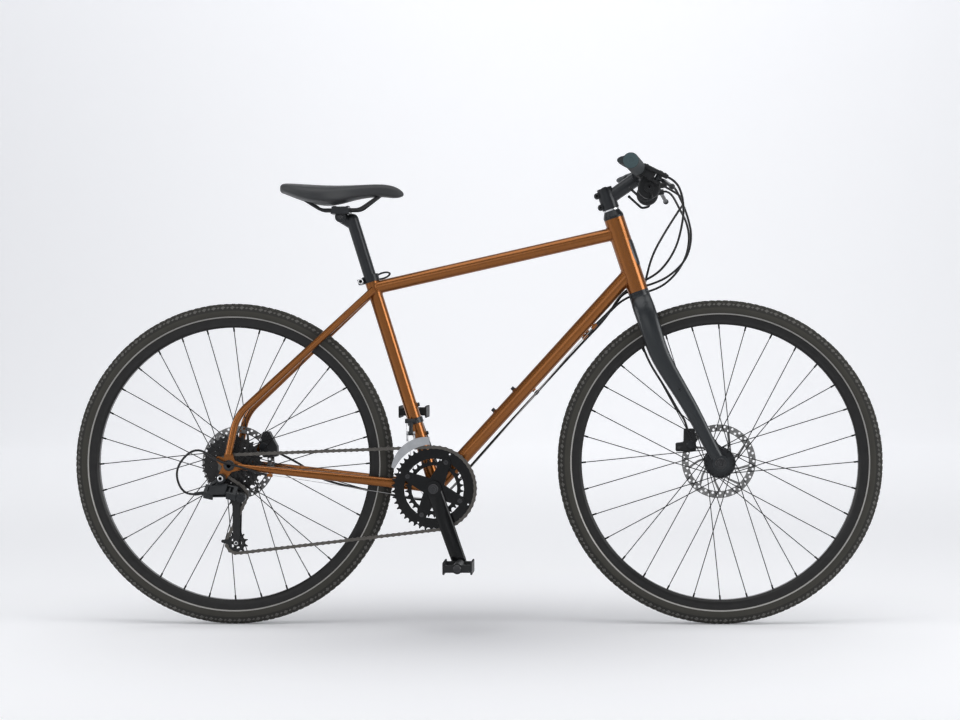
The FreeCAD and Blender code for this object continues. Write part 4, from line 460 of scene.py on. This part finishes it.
# %% Route the cables
housing_radius = 0.00245
hose_radius = 0.0025
wire_radius = 0.0006
turn_zone = ((0.43, 0.0, 0.80), (0.30, 0.0, 0.69))


def millimetres(*points):
    return [Vector(p) / 1000.0 for p in points]


def line_curve(name, points, radius):
    data = bpy.data.curves.new(name, "CURVE")
    data.dimensions = "3D"
    data.resolution_u = 8
    data.bevel_depth = radius
    data.bevel_resolution = 4
    data.use_fill_caps = True
    spline = data.splines.new("NURBS")
    spline.points.add(len(points) - 1)
    for spot, point in zip(spline.points, points):
        spot.co = (*point, 1.0)
    spline.order_u = 3
    spline.use_endpoint_u = True
    made = bpy.data.objects.new(name, data)
    bpy.context.scene.collection.objects.link(made)
    return made


def worked_out(curve):
    """The mesh that a curve gives."""
    bpy.context.view_layer.update()
    graph = bpy.context.evaluated_depsgraph_get()
    return bpy.data.meshes.new_from_object(curve.evaluated_get(graph))


def traced(curve):
    """Points along a curve's own smooth line."""
    depth = curve.data.bevel_depth
    curve.data.bevel_depth = 0.0
    mesh = worked_out(curve)
    points = [v.co.copy() for v in mesh.vertices]
    bpy.data.meshes.remove(mesh)
    curve.data.bevel_depth = depth
    return points


def run_length(points):
    return sum((b - a).length for a, b in zip(points, points[1:]))


def cable(name, node, points, radius, finish, body="frame", bend=None):
    """A cable on its route: a curve on one body, or, with bend set, a mesh tube on no body."""
    curve = line_curve(name, points, radius)
    path = traced(curve)
    piece = curve
    if bend:
        mesh = worked_out(curve)
        mesh.name = name
        bpy.data.objects.remove(curve)
        piece = bpy.data.objects.new(name, mesh)
        bpy.context.scene.collection.objects.link(piece)
    piece.data.materials.clear()
    piece.data.materials.append(finish.material)
    if bend:
        mesh.shade_smooth()
        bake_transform(piece)
    else:
        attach(piece, body)
    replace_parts(piece, node)
    print(name, "length", round(run_length(path), 3))


cable("right_gear_housing", "shift_housings", millimetres(
    (412.6, -118.0, 940.1), (426.4, -116.5, 942.4), (446, -92, 906), (461, -46, 872), (470, -2, 836),
    (462, 18, 794), (438, 25, 764), (400, 26, 738), (322.5, 27, 718.0), (303.0, 5.0, 686.8),
    (264.2, -7.0, 649.1), (256.8, -7.0, 641.0)), housing_radius, jacket, bend=turn_zone)
cable("left_gear_housing", "shift_housings", millimetres(
    (412.6, 118.0, 940.1), (426.4, 116.5, 942.4), (448, 80, 896), (460, 62, 872), (467, 48, 836),
    (459, 36, 792), (434, 31, 752), (396, 31, 722), (325.9, 27, 707.6), (282.7, 19.0, 664.7),
    (243.9, 7.0, 627.0), (236.5, 7.0, 618.9)), housing_radius, jacket, bend=turn_zone)
cable("rear_brake_line", "rear_brake_hose", millimetres(
    (415.7, -152.0, 953.2), (433.5, -152.0, 944.2), (446, -132, 916), (450, -95, 886), (447, -52, 856),
    (438, -10, 817), (419, 18, 782), (391, 36, 752), (321.3, 37.0, 721.8), (285.6, 27.5, 662.1),
    (229.2, 14.5, 605.2), (-8.2, 14.5, 346.8), (-45.3, 18.0, 299.5), (-93.0, 25.0, 260.0),
    (-218.8, 31.0, 284.6), (-344.5, 71.0, 307.0), (-380.5, 71.0, 337.0), (-424.5, 64.0, 362.0),
    (-447.5, 60.5, 373.0)), hose_radius, jacket, bend=turn_zone)
cable("rear_gear_loop", "shift_housings", millimetres(
    (-438.6, -72.5, 327.6), (-452.4, -74.2, 329.2), (-506.5, -86.0, 349.0), (-548.5, -87.0, 358.0),
    (-596.5, -87.0, 393.0), (-644.5, -85.0, 343.0), (-627.4, -75.7, 285.4), (-601.7, -73.2, 288.0)),
    housing_radius, jacket)
cable("front_brake_line", "front_brake_hose", millimetres(
    (415.7, 152.0, 953.2), (433.5, 152.0, 944.2), (455, 128, 926), (455, 106, 910), (447, 90, 900),
    (414, 60, 849), (385, 50, 798), (371, 47, 745), (363.2, 47.0, 709.2), (360.4, 52.0, 672.5),
    (356.5, 52.0, 622.9), (374.5, 48.0, 567.7), (416.2, 50.0, 502.4), (441.0, 50.0, 456.9),
    (456.5, 44.0, 435.0), (462.5, 44.0, 405.0)), hose_radius, jacket, body="steering")
cable("rear_gear_wire", "shift_wires", millimetres(
    (256.8, -7.0, 641.0), (218.2, -7.0, 599.0), (-67.0, -8.0, 270.4), (-107.0, -12.0, 270.4),
    (-393.2, -67.0, 322.2), (-438.6, -72.5, 327.6)), wire_radius, wire_steel)
cable("front_gear_wire", "shift_wires", millimetres(
    (236.5, 7.0, 618.9), (197.9, 7.0, 576.9), (-67.0, 8.0, 270.4), (-107.0, 4.0, 270.4),
    (-125.0, -12.0, 295.4), (-147.8, -24.0, 411.4), (-147.8, -24.0, 436.4)), wire_radius, wire_steel)

# %% [markdown]
# ## Tyres
# A city tyre is a round rubber section with a reflective band just outside the rim and low, slanted
# blocks on its shoulders. The section is a line of a few points spun about the axle. One block per row
# is shaped, and a second spin copies it round, so the rows close on themselves whatever their
# count.

# %% Shape the tyres
section_centre = 0.3300
section_radius = 0.0183
block_seat, crown_seat = 0.0182, 0.0181
band_inside, band_outside, band_least_y = 0.3185, 0.3222, 0.0135
ground_inside, ground_shoulder = 0.3345, 0.3495
rubber_slot, band_slot, shoulder_slot, painted_shade_slot = range(4)
wheel_spin = {"cent": (0, 0, 0), "axis": (0, 1, 0)}


def keep(bm, name, finishes, body, sharp):
    """Turns a bmesh into an object that rides on a body. Edges past sharp degrees stay sharp."""
    mesh = bpy.data.meshes.new(name)
    bm.to_mesh(mesh)
    bm.free()
    mesh.shade_smooth()
    mesh.set_sharp_from_angle(angle=math.radians(sharp))
    for finish in finishes:
        mesh.materials.append(finish.material)
    made = bpy.data.objects.new(name, mesh)
    bpy.context.scene.collection.objects.link(made)
    if body:
        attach(made, body)
    return made


def spun_line(bm, profile, steps):
    """A closed (radius, y) line spun about the Y axis."""
    line = [bm.verts.new((0.0, y, r)) for r, y in profile]
    edges = [bm.edges.new(pair) for pair in zip(line, line[1:] + line[:1])]
    bmesh.ops.spin(bm, geom=line + edges, **wheel_spin, angle=math.tau, steps=steps, use_merge=True)
    bmesh.ops.remove_doubles(bm, verts=bm.verts[:], dist=1e-6)
    bmesh.ops.recalc_face_normals(bm, faces=bm.faces[:])


def block_row(bm, count, radius, y, lean, slant, size, shift=0.0, slot=rubber_slot):
    """One tread block, leaned to the tyre's shoulder, and its copies round the wheel."""
    narrow_along, narrow_across, skew = 0.78, 0.84, 0.28
    before = set(bm.verts)
    place = (Matrix.Rotation(shift, 4, "Y") @ Matrix.Translation((0.0, y, radius))
             @ Matrix.Rotation(lean, 4, "X") @ Matrix.Rotation(slant, 4, "Z"))
    bmesh.ops.create_cube(bm, size=1.0, matrix=place @ Matrix.Diagonal((*size, 1.0)))
    fresh = [v for v in bm.verts if v not in before]
    inward = place.inverted()
    for vert in fresh:
        spot = inward @ vert.co
        if spot.z > 0:
            spot.x *= narrow_along
            spot.y *= narrow_across
        spot.x += spot.y * skew
        vert.co = place @ spot
    faces = list(dict.fromkeys(f for v in fresh for f in v.link_faces))
    for face in faces:
        face.material_index = slot
    edges = list(dict.fromkeys(e for v in fresh for e in v.link_edges))
    bmesh.ops.spin(bm, geom=fresh + edges + faces, **wheel_spin, angle=math.tau * (count - 1) / count,
                   steps=count - 1, use_duplicate=True)


def tyre(name, axle, body):
    """A spun section with a band on its walls, darker ground under the tread as painted shade, and the rows
    of blocks, the shoulder rows lighter as a painted highlight.
    """
    bm = bmesh.new()
    outer = []
    for degrees in range(-130, 131, 10):
        angle = math.radians(degrees)
        outer.append((section_centre + section_radius * math.cos(angle), section_radius * math.sin(angle)))
    inner = [(0.3150, 0.0085), (0.3300, 0.0150), (0.3440, 0.0060)]
    inner += [(radius, -y) for radius, y in reversed(inner)]
    spun_line(bm, outer + inner, steps=160)
    for face in bm.faces:
        spot = face.calc_center_median()
        radius = math.hypot(spot.x, spot.z)
        if band_inside < radius < band_outside and abs(spot.y) > band_least_y:
            face.material_index = band_slot
        # The ground between the shoulder blocks takes the darker rubber: painted shade.
        if radius > ground_inside and radius + abs(spot.y) > ground_shoulder:
            face.material_index = painted_shade_slot
    # count, degrees from the crown, slant, size, shift in blocks, material slot
    rows = (
        (160, 17, 0.30, (0.0092, 0.0058, 0.0014), 0.0, rubber_slot),
        (160, 35, 0.45, (0.0086, 0.0050, 0.0014), 0.5, rubber_slot),
        # The shoulder rows take the lighter rubber: painted highlight.
        (103, 55, 0.55, (0.0076, 0.0078, 0.0013), 0.0, shoulder_slot),
        (103, 56, 0.55, (0.0044, 0.0052, 0.0012), 0.5, shoulder_slot),
    )
    for count, degrees, slant, size, shift, slot in rows:
        for side in (-1, 1):
            angle = math.radians(degrees) * side
            block_row(bm, count, section_centre + block_seat * math.cos(angle), block_seat * math.sin(angle),
                      -angle, slant * side, size, math.tau / count * shift, slot)
    block_row(bm, 132, section_centre + crown_seat, 0.0, 0.0, 0.5, (0.0092, 0.0036, 0.0016))
    bmesh.ops.translate(bm, verts=bm.verts[:], vec=axle)
    made = keep(bm, name, (tyre_rubber, stripe, highlight_tread_rubber, shaded_groove_rubber), body, sharp=35)
    print(name, "faces", len(made.data.polygons))
    return made


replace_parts(tyre("front_tyre_tread", front_axle, "front_wheel"), "front_tyre")
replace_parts(tyre("rear_tyre_tread", rear_axle, "rear_wheel"), "rear_tyre")

# %% [markdown]
# ## Saddle
# The saddle is firm foam under a pebbled cover, with a flat top line, deep wings and a nose that drops
# at its tip. It is built as a boat hull is: rings at a few stations, each a circle moved to its
# section, then bridged. Two levels of subdivision round it off.

# %% Shape the saddle cover


def saddle_ring(bm, x, half_width, top, depth, lift):
    """A circle moved to its section: powers below 1 make its sides, crown and belly fuller."""
    fuller_side, fuller_crown, fuller_belly = 0.80, 0.62, 0.75
    ring = bmesh.ops.create_circle(bm, segments=24, radius=1.0, cap_ends=False)["verts"]
    bottom = top - depth
    widest = bottom + depth * lift
    for vert in ring:
        across, up = vert.co.x, vert.co.y
        y = math.copysign(abs(across) ** fuller_side, across) * half_width
        if up >= 0:
            z = widest + (top - widest) * up ** fuller_crown
        else:
            z = widest - (widest - bottom) * abs(up) ** fuller_belly
        vert.co = (x, y, z)
    return [e for e in bm.edges if all(v in ring for v in e.verts)]


# x, half width, top, depth, height of the widest line as a share of the depth
saddle_stations = (
    (-0.4196, 0.030, 0.9500, 0.013, 0.60),
    (-0.4150, 0.046, 0.9575, 0.021, 0.55),
    (-0.4020, 0.060, 0.9580, 0.027, 0.42),
    (-0.3760, 0.0715, 0.9565, 0.036, 0.34),
    (-0.3460, 0.0745, 0.9545, 0.0425, 0.30),
    (-0.3180, 0.068, 0.9530, 0.0445, 0.28),
    (-0.2900, 0.050, 0.9525, 0.0400, 0.30),
    (-0.2620, 0.034, 0.9530, 0.0330, 0.34),
    (-0.2320, 0.0255, 0.9545, 0.0290, 0.38),
    (-0.2000, 0.0205, 0.9550, 0.0275, 0.40),
    (-0.1800, 0.0180, 0.9525, 0.0285, 0.36),
    (-0.1660, 0.0145, 0.9470, 0.0230, 0.30),
    (-0.1570, 0.0105, 0.9405, 0.0140, 0.30),
    (-0.1525, 0.0060, 0.9355, 0.0060, 0.40),
)


def saddle():
    bm = bmesh.new()
    rings = [saddle_ring(bm, *station) for station in saddle_stations]
    for near, far in zip(rings, rings[1:]):
        bmesh.ops.bridge_loops(bm, edges=near + far)
    for ring in (rings[0], rings[-1]):
        bmesh.ops.contextual_create(bm, geom=ring)
    bmesh.ops.recalc_face_normals(bm, faces=bm.faces[:])
    made = keep(bm, "saddle_padding", (saddle_vinyl,), None, sharp=180)
    rounding = made.modifiers.new("rounding", "SUBSURF")
    rounding.levels = rounding.render_levels = 2
    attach(made, "seatpost")
    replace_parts(made, "saddle_cover")
    return made


print("saddle rings", len(saddle_stations), "object", saddle().name)

# %% [markdown]
# ## Weld beads
# Tubes like these are mitred and welded, and the lacquer covers the bead. Where one tube meets another
# the seam is the line on both walls: each straight line on the first tube is followed until it reaches
# the second. A curve along that seam with a slightly uneven thickness gives the ripple of the torch.

# %% Run the beads
tube_radius = {"head": 0.0220, "top": 0.0143, "seat": 0.0149, "down": 0.0159, "shell": 0.0200}
seat_angle = math.radians(73.0)
head_length = 0.165
top_tube_up_seat = 0.452
top_tube_below_cup = 0.032
down_tube_above_cup = 0.045
seat_seam_start, stay_seam_start = 0.20, 0.06
stay_apart, stay_half_width, stay_half_height = 0.0281, 0.0073, 0.0108
bead_radius = 0.0017
seat_up = Vector((-math.cos(seat_angle), 0.0, math.sin(seat_angle)))
head_top = head_low + steer_up * head_length
top_rear = crank_centre + seat_up * top_tube_up_seat
top_front = head_top - steer_up * top_tube_below_cup
down_front = head_low + steer_up * down_tube_above_cup
top_way = (top_front - top_rear).normalized()
down_way = (down_front - crank_centre).normalized()
sideways = Vector((0.0, 1.0, 0.0))


def seam(start, way, wide, high, other_at, other_way, other_radius, count=60):
    """Points on the wall of an oval tube where it meets a round one."""
    points = []
    for step in range(count):
        angle = math.tau * step / count
        spot = start + wide * math.cos(angle) + high * math.sin(angle)
        away = spot - other_at
        away -= other_way * away.dot(other_way)
        run = way - other_way * way.dot(other_way)
        half = away.dot(run)
        root = max(half * half - run.dot(run) * (away.dot(away) - other_radius ** 2), 0.0)
        points.append(spot + way * ((-half - math.sqrt(root)) / run.dot(run)))
    return points


def round_seam(start, way, radius, other_at, other_way, other_radius):
    upright = way.cross(sideways).normalized()
    return seam(start, way, sideways * radius, upright * radius, other_at, other_way, other_radius)


top_middle = (top_rear + top_front) / 2
down_middle = (down_front + crank_centre) / 2
seams = [
    round_seam(top_middle, top_way, tube_radius["top"], head_low, steer_up, tube_radius["head"]),
    round_seam(down_middle, down_way, tube_radius["down"], head_low, steer_up, tube_radius["head"]),
    round_seam(top_middle, -top_way, tube_radius["top"], crank_centre, seat_up, tube_radius["seat"]),
    round_seam(down_middle, -down_way, tube_radius["down"], crank_centre, sideways, tube_radius["shell"]),
    round_seam(crank_centre + seat_up * seat_seam_start, -seat_up, tube_radius["seat"], crank_centre,
               sideways, tube_radius["shell"]),
]
stay_way = (crank_centre - rear_axle).normalized()
stay_wide = sideways * stay_half_width
stay_high = Vector((0, 0, stay_half_height))
for side in (-1, 1):
    stay_start = crank_centre - stay_way * stay_seam_start + sideways * (stay_apart * side)
    seams.append(seam(stay_start, stay_way, stay_wide, stay_high, crank_centre, sideways,
                      tube_radius["shell"]))


def weld_beads(lines):
    """One closed curve per seam, thick and thin by turns."""
    thick, thin = 1.12, 0.86
    data = bpy.data.curves.new("weld_beads", "CURVE")
    data.dimensions = "3D"
    data.resolution_u = 3
    data.bevel_depth = bead_radius
    data.bevel_resolution = 2
    for line in lines:
        spline = data.splines.new("NURBS")
        spline.points.add(len(line) - 1)
        for index, (spot, point) in enumerate(zip(spline.points, line)):
            spot.co = (*point, 1.0)
            spot.radius = thick if index % 2 else thin
        spline.order_u = 3
        spline.use_cyclic_u = True
    data.materials.append(copper.material)
    made = bpy.data.objects.new("weld_beads", data)
    bpy.context.scene.collection.objects.link(made)
    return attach(made, "frame")


print("seams", len(seams), weld_beads(seams).name)

# %% [markdown]
# ## Fasteners
# Bolts are all one shape at different sizes: a short cylinder with a soft edge and a round pocket for
# the key. One function turns it to any direction, and bolts of one finish on one body share a mesh, as
# they share a tray.

# %% A socket bolt and its trays
trays = {}


def tray(body, finish):
    """The mesh that collects the small pieces of one finish on one body."""
    key = (body, finish.material.name)
    if key not in trays:
        trays[key] = (bmesh.new(), finish)
    return trays[key][0]


def facing(at, axis):
    """A matrix that stands on a point with its Z along an axis."""
    return Matrix.Translation(at) @ Vector(axis).to_track_quat("Z", "Y").to_matrix().to_4x4()


def turned(body, finish, at, axis, profile, segments):
    """Rings of (radius, height) on an axis, bridged and capped: washers, caps, collars."""
    bm = tray(body, finish)
    place = facing(at, axis)
    rings = []
    for radius, height in profile:
        lift = Matrix.Translation((0, 0, height))
        circle = bmesh.ops.create_circle(bm, segments=segments, radius=radius, matrix=place @ lift)
        rings.append(list(dict.fromkeys(e for v in circle["verts"] for e in v.link_edges)))
    for near, far in zip(rings, rings[1:]):
        bmesh.ops.bridge_loops(bm, edges=near + far)
    for ring in (rings[0], rings[-1]):
        bmesh.ops.contextual_create(bm, geom=ring)


def socket_bolt(body, finish, at, axis, radius, height):
    """A cap bolt with a round pocket for the key."""
    turned(body, finish, at, axis, (
        (radius, 0.0), (radius, height * 0.82), (radius * 0.86, height), (radius * 0.60, height),
        (radius * 0.52, height * 0.35)), 18)


def nut_boss(body, finish, at, axis, radius, height):
    """A plain boss or nut with a soft top edge."""
    turned(body, finish, at, axis, ((radius, 0.0), (radius, height * 0.7), (radius * 0.8, height)), 20)


def empty_trays():
    for (body, finish_name), (bm, finish) in trays.items():
        bmesh.ops.recalc_face_normals(bm, faces=bm.faces[:])
        keep(bm, "fasteners_" + body + "_" + finish_name.split("_")[0], (finish,), body, sharp=30)
    print("trays", len(trays))


seat_front = Vector((seat_up.z, 0.0, -seat_up.x))
down_top = Vector((-down_way.z, 0.0, down_way.x))
sunk, bolt_seat = 0.0006, 0.0014
# tube's way, way out of its wall, its radius, places along it, height of the bolts
bottle_bosses = (
    (seat_up, seat_front, tube_radius["seat"], (0.1178, 0.1824), 0.0046),
    (down_way, down_top, tube_radius["down"], (0.2081, 0.2708), 0.0066),
)
for way, out_of_wall, radius, reaches, bolt_height in bottle_bosses:
    for reach in reaches:
        spot = crank_centre + way * reach + out_of_wall * (radius - sunk)
        nut_boss("frame", copper, spot, out_of_wall, 0.0058, 0.0016)
        socket_bolt("frame", black_alloy, spot + out_of_wall * bolt_seat, out_of_wall, 0.0042, bolt_height)

# %% [markdown]
# The stem closes round the bar with four bolts, pinches the fork's steerer with two more behind it, and
# the bolt in the cap on top sets the bearings. Their places follow from the steering axis and the
# stem's own rise.

# %% Stem, bar and seat fasteners
stem_rise = math.radians(17.0)
stem_length = 0.090
stem_above_head, spacer_above_head, cap_above_stem = 0.044, 0.0172, 0.0246
face_plate_front, clamp_half, pinch_back = 0.0108, 0.0108, 0.020
collar_half, cradle_half, rail_plate_top = 0.0168, 0.0168, 0.9056
steer_ahead = Vector((steer_up.z, 0.0, -steer_up.x))
stem_mid = head_top + steer_up * stem_above_head
stem_way = steer_ahead * math.cos(stem_rise) + steer_up * math.sin(stem_rise)
stem_over = Vector((-stem_way.z, 0.0, stem_way.x))
bar_at = stem_mid + stem_way * stem_length
for y in (-0.0155, 0.0155):
    for lift in (-0.0178, 0.0178):
        spot = bar_at + stem_way * face_plate_front + stem_over * lift + sideways * y
        socket_bolt("steering", bolt_steel, spot, stem_way, 0.0040, 0.0048)
for lift in (-0.013, 0.013):
    spot = stem_mid + steer_up * lift - steer_ahead * pinch_back
    socket_bolt("steering", bolt_steel, spot - sideways * clamp_half, -sideways, 0.0042, 0.0030)
    nut_boss("steering", bolt_steel, spot + sideways * clamp_half, sideways, 0.0040, 0.0016)
cap_top = stem_mid + steer_up * cap_above_stem
socket_bolt("steering", bolt_steel, cap_top, steer_up, 0.0052, 0.0026)
silver_spacer = ((0.0169, 0.0), (0.0173, 0.0004), (0.0173, 0.0036), (0.0169, 0.0040))
turned("steering", bright_alloy, head_top + steer_up * spacer_above_head, steer_up, silver_spacer, 48)
collar_bolt = joint_place("seat_lever_open")
collar_bolt.y = -collar_half
socket_bolt("frame", bright_alloy, collar_bolt, -sideways, 0.0058, 0.0028)
cradle = Vector((-0.289, 0.0, 0.884))
socket_bolt("seatpost", bolt_steel, cradle - sideways * cradle_half, -sideways, 0.0056, 0.0030)
nut_boss("seatpost", bolt_steel, cradle + sideways * cradle_half, sideways, 0.0056, 0.0022)
for x in (-0.3035, -0.2745):
    socket_bolt("seatpost", bolt_steel, Vector((x, 0.0, rail_plate_top)), Vector((0, 0, 1)), 0.0042, 0.0030)
print("stem rises to", round(bar_at.z, 4))

# %% [markdown]
# The controls: screws in the reservoir lids, clamp screws behind the bar, a cap on each gear pod, and
# the discs that close the grips.

# %% Controls and grip ends
sides = ((-1, "right"), (1, "left"))
pivot_ahead = 0.046
lid_top, lever_underside, clamp_back = 0.0158, 0.0108, 0.0150
pod_inside, pod_outside = 0.0108, 0.0176
swept_length, bar_half, grip_rise, disc_past_bar = 0.246, 0.308, 0.008, 0.0038
grip_back = -math.tan(math.radians(6.0)) * swept_length
pod_cap = ((0.0172, 0.0), (0.0172, 0.0008), (0.0160, 0.0016), (0.0050, 0.0018), (0.0046, 0.0012))
grip_disc = ((0.0158, 0.0), (0.0158, 0.0006), (0.0150, 0.0014), (0.0060, 0.0016), (0.0054, 0.0010))
lever_up = Vector(joints["brake_lever_right_pull"]["axis"]).normalized()
lever_up = lever_up if lever_up.z > 0 else -lever_up
lever_out = Vector((lever_up.z, 0.0, -lever_up.x))
for side, label in sides:
    pivot = joint_place("brake_lever_" + label + "_pull")
    clamp = pivot - lever_out * pivot_ahead
    for reach in (0.014, 0.056):
        for y in (-0.0075, 0.0075):
            spot = clamp + lever_out * reach + lever_up * lid_top + sideways * y
            socket_bolt("steering", bolt_steel, spot, lever_up, 0.0020, 0.0012)
    socket_bolt("steering", bolt_steel, pivot + lever_up * lid_top, lever_up, 0.0036, 0.0016)
    socket_bolt("steering", bolt_steel, pivot - lever_up * lever_underside, -lever_up, 0.0040, 0.0016)
    socket_bolt("steering", bolt_steel, clamp - lever_out * clamp_back, -lever_out, 0.0030, 0.0034)
    pod = joint_place("shift_lever_" + label + "_push")
    outward = sideways * side
    turned("steering", black_alloy, pod - outward * pod_inside, -outward, pod_cap, 36)
    socket_bolt("steering", bolt_steel, pod + outward * pod_outside, outward, 0.0036, 0.0012)
    sweep = Vector((grip_back, swept_length * side, grip_rise)).normalized()
    bar_tip = bar_at + Vector((grip_back, bar_half * side, grip_rise))
    turned("steering", grip_end, bar_tip + sweep * disc_past_bar, sweep, grip_disc, 40)
print("grip ends at y", round(bar_tip.y, 3))

# %% [markdown]
# The drive side: a dust cap over the crank's end, four ring bolts on the spider, the silver bolt that
# hangs the derailleur, the cap of its spring, the two pulley bolts and a cap on the end of each pedal.

# %% Drive fasteners
ring_bolt_circle = 0.062
hanger_back, hanger_down = 0.0165, 0.027
crank_face, spider_face = -0.0724, -0.0572
hanger_face, knuckle_face, cage_face = -0.0892, -0.0894, -0.0694
pedal_end = 0.1838
dust_cap = ((0.0108, 0.0), (0.0108, 0.0010), (0.0100, 0.0018), (0.0056, 0.0020), (0.0050, 0.0006))
spring_cap = ((0.0096, 0.0), (0.0096, 0.0008), (0.0086, 0.0018), (0.0030, 0.0020), (0.0026, 0.0012))
pedal_cap = ((0.0082, 0.0), (0.0082, 0.0010), (0.0070, 0.0020), (0.0030, 0.0021))


def beside(place, y):
    """The point level with a place, at a given y."""
    return Vector((place.x, y, place.z))


crank_way = joint_place("pedal_right_spin") - crank_centre
crank_angle = math.atan2(crank_way.z, crank_way.x)
turned("crank", bolt_steel, beside(crank_centre, crank_face), -sideways, dust_cap, 36)
for step in range(4):
    angle = crank_angle + math.radians(45 + 90 * step)
    across, up = math.cos(angle) * ring_bolt_circle, math.sin(angle) * ring_bolt_circle
    spot = crank_centre + Vector((across, spider_face, up))
    socket_bolt("crank", bolt_steel, spot, -sideways, 0.0052, 0.0016)
hanger_bolt = beside(rear_axle - Vector((hanger_back, 0.0, hanger_down)), hanger_face)
socket_bolt("frame", bright_alloy, hanger_bolt, -sideways, 0.0064, 0.0030)
cage_pivot = beside(joint_place("cage_swing"), knuckle_face)
turned("rd_p_knuckle", black_alloy, cage_pivot, -sideways, spring_cap, 32)
for name in ("guide_pulley_spin", "tension_pulley_spin"):
    socket_bolt("rd_cage", bright_alloy, beside(joint_place(name), cage_face), -sideways, 0.0044, 0.0020)
for side, label in sides:
    axle_end = beside(joint_place("pedal_" + label + "_spin"), pedal_end * side)
    turned("pedal_" + label, bolt_steel, axle_end, sideways * side, pedal_cap, 28)
print("crank angle", round(math.degrees(crank_angle), 2))

# %% [markdown]
# Brakes and frame: piston caps and mounting bolts on the calipers, bolts at the axle ends, clips that
# hold the hose under the down tube, a bare plate where a maker would put a badge, and the valves.

# %% Brakes, plate and valves
piston_cap = ((0.0098, 0.0), (0.0098, 0.0008), (0.0086, 0.0018), (0.0030, 0.0020))
axle_washer = ((0.0116, 0.0), (0.0120, 0.0006), (0.0120, 0.0022), (0.0112, 0.0030))
hose_clip = ((0.0032, 0.0), (0.0038, 0.0008), (0.0038, 0.0092), (0.0032, 0.0100))
valve_stem = ((0.0031, 0.0), (0.0031, 0.028), (0.0026, 0.030), (0.0026, 0.042), (0.0018, 0.044))
valve_cap = ((0.0040, 0.0), (0.0040, 0.016), (0.0034, 0.018))
stem_foot, cap_foot = 0.311, 0.284
washer_depth = 0.0036
clip_half, hose_below, hose_aside = 0.005, 0.0243, 0.0145
post_aside, post_sunk = 0.0100, 0.0032
# body, axle, way from the axle to the caliper, y of its right and left face, x and z of its bolts
calipers = (
    ("frame", rear_axle, Vector((0.058, 0.0, 0.034)), (0.0397, 0.0673),
     ((-0.4625, 0.4100), (-0.4480, 0.3600))),
    ("steering", front_axle, Vector((-0.060, 0.0, 0.036)), (0.0246, 0.0508),
     ((0.4400, 0.3790), (0.4630, 0.4130))),
)
for body, axle, offset, (right, left), bolts in calipers:
    for y, way in ((right, -sideways), (left, sideways)):
        turned(body, black_alloy, beside(axle + offset, y), way, piston_cap, 32)
    for x, z in bolts:
        socket_bolt(body, bolt_steel, Vector((x, right, z)), -sideways, 0.0034, 0.0018)
for body, axle, right, left in (("steering", front_axle, -0.0668, 0.0678),
                                ("frame", rear_axle, -0.0783, 0.0793)):
    for y, way in ((right, -sideways), (left, sideways)):
        axle_end = beside(axle, y)
        socket_bolt(body, bolt_steel, axle_end, way, 0.0082, 0.0026)
        turned(body, bolt_steel, axle_end - way * washer_depth, way, axle_washer, 40)
down_under = -down_top
for reach in (0.299, 0.470):
    spot = crank_centre + down_way * reach + down_under * (tube_radius["down"] - sunk)
    post = spot + sideways * post_aside - down_under * post_sunk
    nut_boss("frame", copper, post, down_under, 0.0050, 0.0062)
    clip = crank_centre + down_way * (reach - clip_half) + down_under * hose_below + sideways * hose_aside
    turned("frame", black_plastic, clip, down_way, hose_clip, 20)


def badge_plate():
    """A bare, slightly domed plate bent round the front of the head tube."""
    half_angle = math.radians(52)
    half_length, up_head = 0.029, 0.082
    edge_height, dome_height = 0.0002, 0.0009
    narrower_foot, narrower_top, rim_starts = 0.28, 0.10, 0.8
    centre = head_low + steer_up * up_head
    bm = bmesh.new()
    bmesh.ops.create_grid(bm, x_segments=20, y_segments=20, size=1.0)
    field = [f for f in bm.faces if max(abs(c) for c in f.calc_center_median().xy) < rim_starts]
    for vert in bm.verts:
        across, up = vert.co.x, vert.co.y
        waist = 1.0 - narrower_foot * max(-up, 0.0) ** 2 - narrower_top * max(up, 0.0) ** 2
        angle = across * waist * half_angle
        dome = edge_height + dome_height * (1 - across ** 6) * (1 - up ** 6)
        radius = tube_radius["head"] + dome
        vert.co = (centre + steer_up * (up * half_length) + steer_ahead * (radius * math.cos(angle))
                   + sideways * (radius * math.sin(angle)))
    bmesh.ops.recalc_face_normals(bm, faces=bm.faces[:])
    for face in field:
        face.material_index = 1
    keep(bm, "bare_head_plate", (bolt_steel, black_alloy), "frame", sharp=60)


badge_plate()
for body, axle, angle in (("front_wheel", front_axle, 2.016), ("rear_wheel", rear_axle, -0.118)):
    inward = Vector((-math.cos(angle), 0.0, -math.sin(angle)))
    turned(body, bright_alloy, axle - inward * stem_foot, inward, valve_stem, 16)
    turned(body, black_plastic, axle - inward * cap_foot, inward, valve_cap, 16)
empty_trays()
